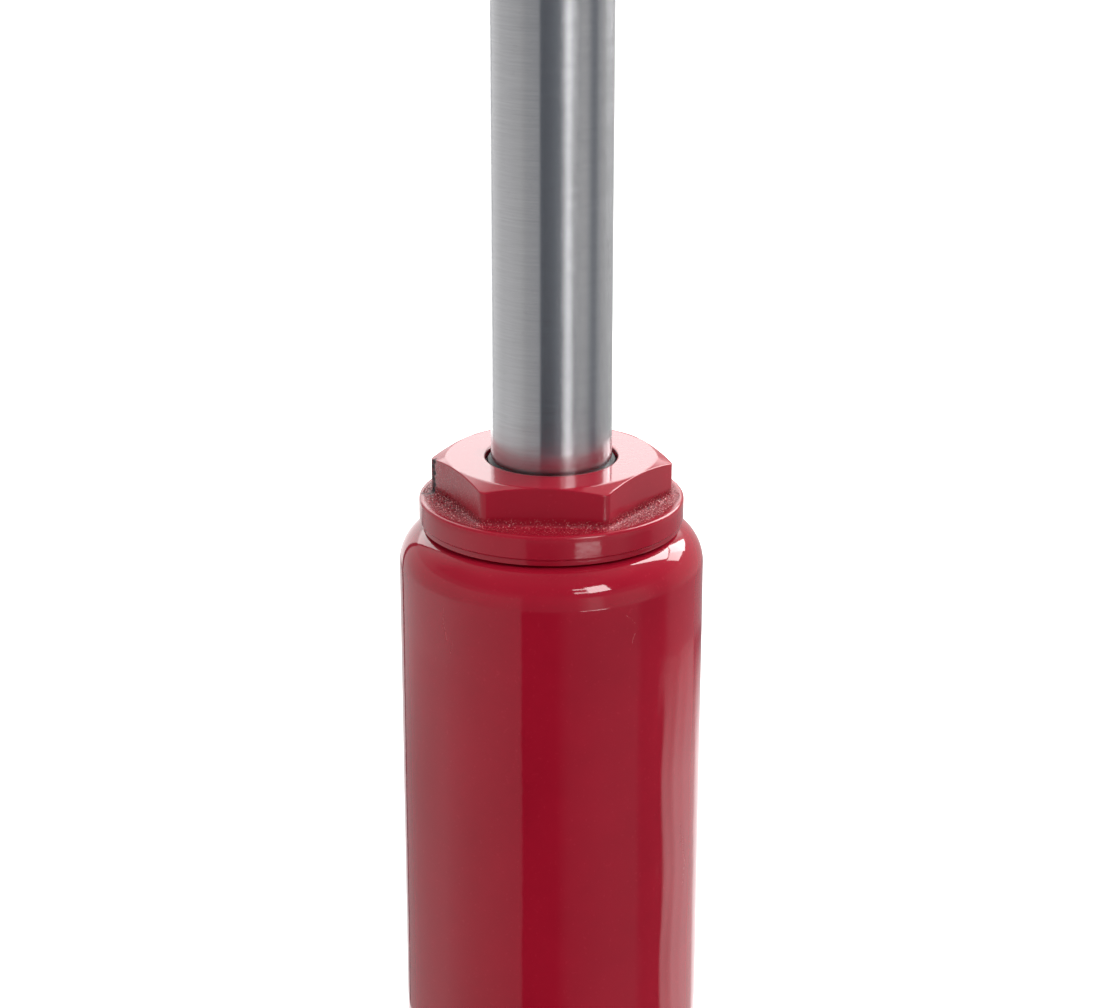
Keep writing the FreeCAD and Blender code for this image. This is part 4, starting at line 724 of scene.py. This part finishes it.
# Brightness of the studio's low surround by direction, 0 at the front and growing to the right, by level
surround = {
    "radius": 0.24, "flare": 0.8, "height": 0.56, "dome": 0.55, "columns": 720,
    "wallLevels": [(0.0005, 0.18, 60), (0.1864, 0.1865, 2), (0.1895, 0.1896, 2), (0.2, 0.56, 60)],
    "domeAngles": (0.5, 89.9, 150), "tintRange": (0.1, 0.5), "shadeTint": (0.86, 0.94, 1.08, 1),
    "levels": [(0.0, "foot"), (0.092, "foot"), (0.136, "bottom"), (0.141, "low"), (0.176, "low"),
               (0.200, "high"), (0.47, "high"), (0.50, "glow"), (0.60, "glow"), (0.68, "middle"),
               (0.90, "middle"), (1.05, "crown"), (1.46, "crown")],
    # left, right, lowest and highest level, strength
    "windows": [(29, 47, 0.67, 0.90, 13), (18, 29, 0.82, 0.87, 8), (18, 29, 0.69, 0.75, 8),
                (118, 132, 0.54, 0.73, 8), (132.5, 147, 0.50, 0.73, 10), (122, 148, 0.745, 1.04, 11),
                (20, 40, 0.1865, 0.1895, 14)],
    "foot": [(-180, 1.0), (-150, 1.0), (-147, 0.9), (-146.5, 0.05), (-143.5, 0.05), (-143, 0.45),
             (-118, 0.58), (-84, 0.82), (-55, 0.58), (-27, 0.43), (-21.5, 0.40), (-20, 0.0), (3, 0.0),
             (12, 0.17), (38, 0.28), (62, 0.30), (68, 0.12), (84, 0.12), (90, 1.2), (104, 1.4), (118, 1.1),
             (130, 0.9), (137, 0.9), (140, 1.5), (165, 1.4), (180, 1.0)],
    "bottom": [(-180, 0.9), (-150, 0.9), (-147, 0.6), (-146.5, 0.05), (-143.5, 0.05), (-143, 0.66),
               (-118, 0.72), (-84, 0.86), (-55, 0.60), (-27, 0.45), (-21.5, 0.42), (-20, 0.0), (3, 0.0),
               (12, 0.17), (38, 0.28), (62, 0.30), (68, 0.12), (84, 0.12), (90, 0.55), (110, 0.68),
               (129, 0.55), (133, 0.14), (155, 0.2), (165, 1.0), (180, 0.9)],
    "low": [(-180, 1.0), (-150, 0.9), (-147, 0.5), (-146.5, 0.05), (-143.5, 0.05), (-143, 0.68),
            (-118, 0.80), (-84, 0.94), (-55, 0.62), (-27, 0.45), (-21.5, 0.42), (-20, 0.0), (3, 0.0),
            (12, 0.17), (38, 0.28), (62, 0.30), (68, 0.12), (88, 0.10), (95, 0.34), (126, 0.32),
            (155, 0.42), (165, 1.0), (180, 1.0)],
    "high": [(-180, 1.2), (-143, 1.8), (-142, 0.1), (-139, 0.1), (-138, 0.9), (-121, 0.78), (-102, 0.66),
             (-86, 0.64), (-71, 0.59), (-58, 0.56), (-46, 0.46), (-34, 0.45), (-22, 0.42), (-19, 0.16),
             (-12, 0.16), (0, 0.19), (10, 0.24), (17, 0.28), (25, 0.68), (27, 0.95), (34, 0.95), (38, 0.44),
             (56, 0.56), (66, 0.54), (74, 0.38), (80, 0.27), (88, 0.26), (96, 0.42), (108, 0.50), (130, 0.52),
             (150, 0.55), (180, 0.95)],
    "glow": [(-180, 3.6), (-165, 3.6), (-158, 3.2), (-142, 3.6), (-141.5, 0.1), (-140, 0.1), (-139, 0.8),
             (-100, 0.35), (-22, 0.25), (-19, 0.14), (10, 0.2), (60, 0.3), (88, 0.2), (110, 0.4), (150, 0.8),
             (158, 2.0), (165, 3.6), (180, 3.6)],
    "middle": [(-180, 3.0), (-150, 3.2), (-142, 3.2), (-141.5, 0.1), (-140, 0.1), (-139, 0.9), (-100, 0.2),
               (-20, 0.12), (60, 0.12), (100, 0.25), (150, 0.6), (170, 3.0), (180, 3.0)],
    "crown": [(-180, 1.2), (-120, 0.5), (-60, 0.2), (0, 0.15), (60, 0.2), (120, 0.5), (180, 1.2)],
}


def surroundBrightness(turn, level):
    # Between two levels the brightness goes evenly from one profile to the next; windows lie over it
    s = surround
    starts = [start for start, _ in s["levels"]]
    profiles = np.stack([np.interp(turn[0], *zip(*s[key])) for _, key in s["levels"]])
    place = np.interp(level[:, 0], starts, np.arange(len(starts)))
    below = np.minimum(place.astype(int), len(starts) - 2)
    share = (place - below)[:, None]
    bright = profiles[below] * (1 - share) + profiles[below + 1] * share
    for left, right, low, high, strength in s["windows"]:
        inside = (turn >= left) & (turn <= right) & (level >= low) & (level <= high)
        bright = np.where(inside, strength, bright)
    return bright


def makeSurround():
    # A flared wall, radius = start + flare * height, with an elliptic dome on it. A level is the height on
    # the wall and grows by 0.01 a degree up the dome
    s = surround
    turn = np.linspace(-180, 180, s["columns"], endpoint=False)[None]
    wall = np.concatenate([np.linspace(*part) for part in s["wallLevels"]])
    arc = np.radians(np.linspace(*s["domeAngles"]))
    level = np.concatenate([wall, s["height"] + np.degrees(arc) / 100])[:, None]
    rim = s["radius"] + s["flare"] * s["height"]
    radius = np.concatenate([s["radius"] + s["flare"] * wall, rim * np.cos(arc)])[:, None]
    height = np.concatenate([wall, s["height"] + s["dome"] * np.sin(arc)])[:, None]
    across, front = radius * np.sin(np.radians(turn)), -radius * np.cos(np.radians(turn))
    points = np.stack(np.broadcast_arrays(across, front, height + 0 * turn), -1).reshape(-1, 3)
    mesh = bpy.data.meshes.new("studioSurround")
    mesh.from_pydata(points.tolist(), [], gridQuads(len(level), s["columns"]).tolist())
    layer = mesh.attributes.new("brightness", "FLOAT", "POINT")
    layer.data.foreach_set("value", surroundBrightness(turn, level).reshape(-1).astype(np.float32))
    material = bpy.data.materials.new("studioSurround")
    material.use_nodes = True
    tree = material.node_tree
    tree.nodes.clear()
    amount = attribute(tree, "brightness")
    tint = mixColour(tree, spread(tree, amount, *s["tintRange"]), s["shadeTint"], white)
    glow = addNode(tree, "Emission", {"Color": tint, "Strength": amount})
    end = tree.nodes.new("ShaderNodeOutputMaterial")
    tree.links.new(glow.outputs[0], end.inputs[0])
    mesh.materials.append(material)
    stageWall = placed("studioSurround", mesh)
    stageWall.visible_camera = stageWall.visible_diffuse = stageWall.visible_shadow = False
    stageWall.visible_transmission = stageWall.visible_volume_scatter = False


# Place, size and power of each lamp; all point at the target, and no reflection shows them
lampTarget = Vector((0, 0, 0.3))
lamps = {
    "windowLamp": ((0.795, -1.225, 1.664), (0.54, 0.42), 19),
    "leftSoftbox": ((-2.0, -0.35, 1.3), (3.0, 2.4), 24),
    "rightSoftbox": ((1.37, 0.995, 1.16), (0.7, 0.8), 43),
    "backSoftbox": ((0, 1.9, 1.05), (2.4, 0.9), 50),
    "topSoftbox": ((0.3, -0.3, 2.3), (1.6, 1.6), 26),
}


def areaLamp(name, place, size, power):
    lamp = bpy.data.lights.new(name, "AREA")
    lamp.shape = "RECTANGLE"
    lamp.size, lamp.size_y = size
    lamp.energy = power
    item = placed(name, lamp)
    item.visible_glossy = False
    item.location = place
    item.rotation_euler = (lampTarget - Vector(place)).to_track_quat("-Z", "Y").to_euler()


def makeWorld(dim=0.42):
    # White where it is seen, dimmer as the light that falls on the object
    world = bpy.data.worlds.new("whiteStudio")
    bpy.context.scene.world = world
    world.use_nodes = True
    tree = world.node_tree
    tree.nodes.clear()
    strength = spread(tree, seenRays(tree), 0.0, 1.0, dim, 1.0)
    sky = addNode(tree, "Background", {"Color": white, "Strength": strength})
    end = tree.nodes.new("ShaderNodeOutputWorld")
    tree.links.new(sky.outputs[0], end.inputs[0])


# Fitted to the photograph: the focal length in pixels of its frame, the place in metres, degrees down
view = {"focal": 2600, "frame": 1100, "sensor": 36, "across": -0.00046, "back": 0.8175, "up": 0.5936,
        "pitch": 19.02}


def makeCamera():
    camera = bpy.data.cameras.new("camera")
    camera.lens, camera.sensor_width = view["focal"] / view["frame"] * view["sensor"], view["sensor"]
    item = placed("camera", camera)
    item.location = (view["across"], -view["back"], view["up"])
    item.rotation_euler = (math.radians(90 - view["pitch"]), 0, 0)
    bpy.context.scene.camera = item


makeFloor()
makeSurround()
for name, row in lamps.items():
    areaLamp(name, *row)
makeWorld()
makeCamera()
bpy.context.scene.view_settings.view_transform = "Standard"
print("studio ready")
